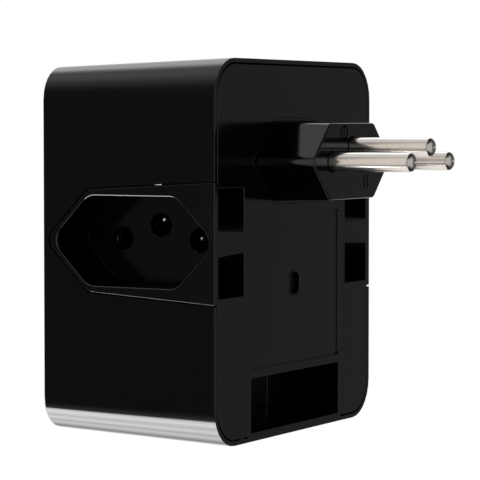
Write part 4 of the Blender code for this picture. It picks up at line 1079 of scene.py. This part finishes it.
def addStage(name, bm, material, hiddenFrom):
    mesh = bpy.data.meshes.new(name)
    bm.to_mesh(mesh)
    bm.free()
    mesh.materials.append(material)
    thing = bpy.data.objects.new(name, mesh)
    for rays in hiddenFrom:
        setattr(thing, "visible_" + rays, False)
    bpy.context.scene.collection.objects.link(thing)


def addCard(name, middle, across, along, width, length):
    # a glowing card that only reflections see; its material's first share runs along its width
    bm = bmesh.new()
    bmesh.ops.create_grid(bm, x_segments=1, y_segments=1, size=0.5)
    uv = bm.loops.layers.uv.new("cardUv")
    for face in bm.faces:
        for loop in face.loops:
            loop[uv].uv = (loop.vert.co.x + 0.5, loop.vert.co.y + 0.5)
    bmesh.ops.scale(bm, vec=(width, length, 1), verts=bm.verts)
    facing = Vector(across).cross(Vector(along))
    turn = Matrix((across, along, facing)).transposed().to_4x4()
    bmesh.ops.transform(bm, matrix=Matrix.Translation(middle) @ turn, verts=bm.verts)
    material = bpy.data.materials.new(name)
    material.use_nodes = True
    tree = material.node_tree
    tree.nodes.clear()
    glow = tree.nodes.new("ShaderNodeEmission")
    tree.links.new(glow.outputs[0], tree.nodes.new("ShaderNodeOutputMaterial").inputs["Surface"])
    addStage(name, bm, material, ("camera", "diffuse", "shadow"))
    return tree, glow


def buildCards():
    values = cards["under"]
    (left, right), (front, rear) = values["across"], values["along"]
    middle = Vector(((left + right) / 2, (front + rear) / 2, values["height"]))
    tree, glow = addCard("underCard", middle, (1, 0, 0), yAxis, right - left, rear - front)
    place = addNode(tree, "ShaderNodeUVMap", {"uv_map": "cardUv"})
    split = tree.nodes.new("ShaderNodeSeparateXYZ")
    tree.links.new(place.outputs["UV"], split.inputs[0])
    shade = fillRamp(tree, split.outputs["X"], values["profile"], 0.0, 1.0)
    tree.links.new(shade, glow.inputs["Color"])
    glow.inputs["Strength"].default_value = studio["strongest"]

    values = cards["side"]
    turn = math.radians(view["turn"])
    away = Vector((math.sin(turn), math.cos(turn), 0))
    across = Vector((-away.y, away.x, 0))
    near, far = values["across"]
    low, high = values["low"], values["high"]
    middle = away * values["distance"] + across * (near + far) / 2 + Vector((0, 0, (low + high) / 2))
    tree, glow = addCard("sideCard", middle, across, (0, 0, 1), far - near, high - low)
    glow.inputs["Color"].default_value = (*values["warmth"], 1.0)
    glow.inputs["Strength"].default_value = values["level"]


def buildFloor():
    # a plain floor that is seen from above only, and neither takes nor gives light
    values = floorShape
    bm = bmesh.new()
    bmesh.ops.create_circle(bm, cap_ends=True, segments=values["steps"], radius=values["radius"])
    bmesh.ops.translate(bm, vec=(0, 0, caseBottom - values["drop"]), verts=bm.verts)
    material = bpy.data.materials.new("paleFloor")
    material.use_nodes = True
    tree = material.node_tree
    shader = tree.nodes["Principled BSDF"]
    shader.inputs["Base Color"].default_value = (0.0, 0.0, 0.0, 1.0)
    shader.inputs["Roughness"].default_value = 1.0
    shader.inputs["Specular IOR Level"].default_value = 0.0
    shader.inputs["Emission Color"].default_value = (1.0, 1.0, 1.0, 1.0)
    shader.inputs["Emission Strength"].default_value = studio["backdrop"]
    seen = tree.nodes.new("ShaderNodeMixShader")
    below = tree.nodes.new("ShaderNodeNewGeometry")
    through = tree.nodes.new("ShaderNodeBsdfTransparent")
    tree.links.new(below.outputs["Backfacing"], seen.inputs["Fac"])
    tree.links.new(shader.outputs[0], seen.inputs[1])
    tree.links.new(through.outputs[0], seen.inputs[2])
    tree.links.new(seen.outputs[0], tree.nodes["Material Output"].inputs["Surface"])
    addStage("floor", bm, material, ("glossy", "diffuse", "transmission", "shadow"))


buildCamera()
buildRoom()
buildCards()
buildFloor()
bpy.context.scene.view_settings.view_transform = "Standard"
print("camera, light and floor set")
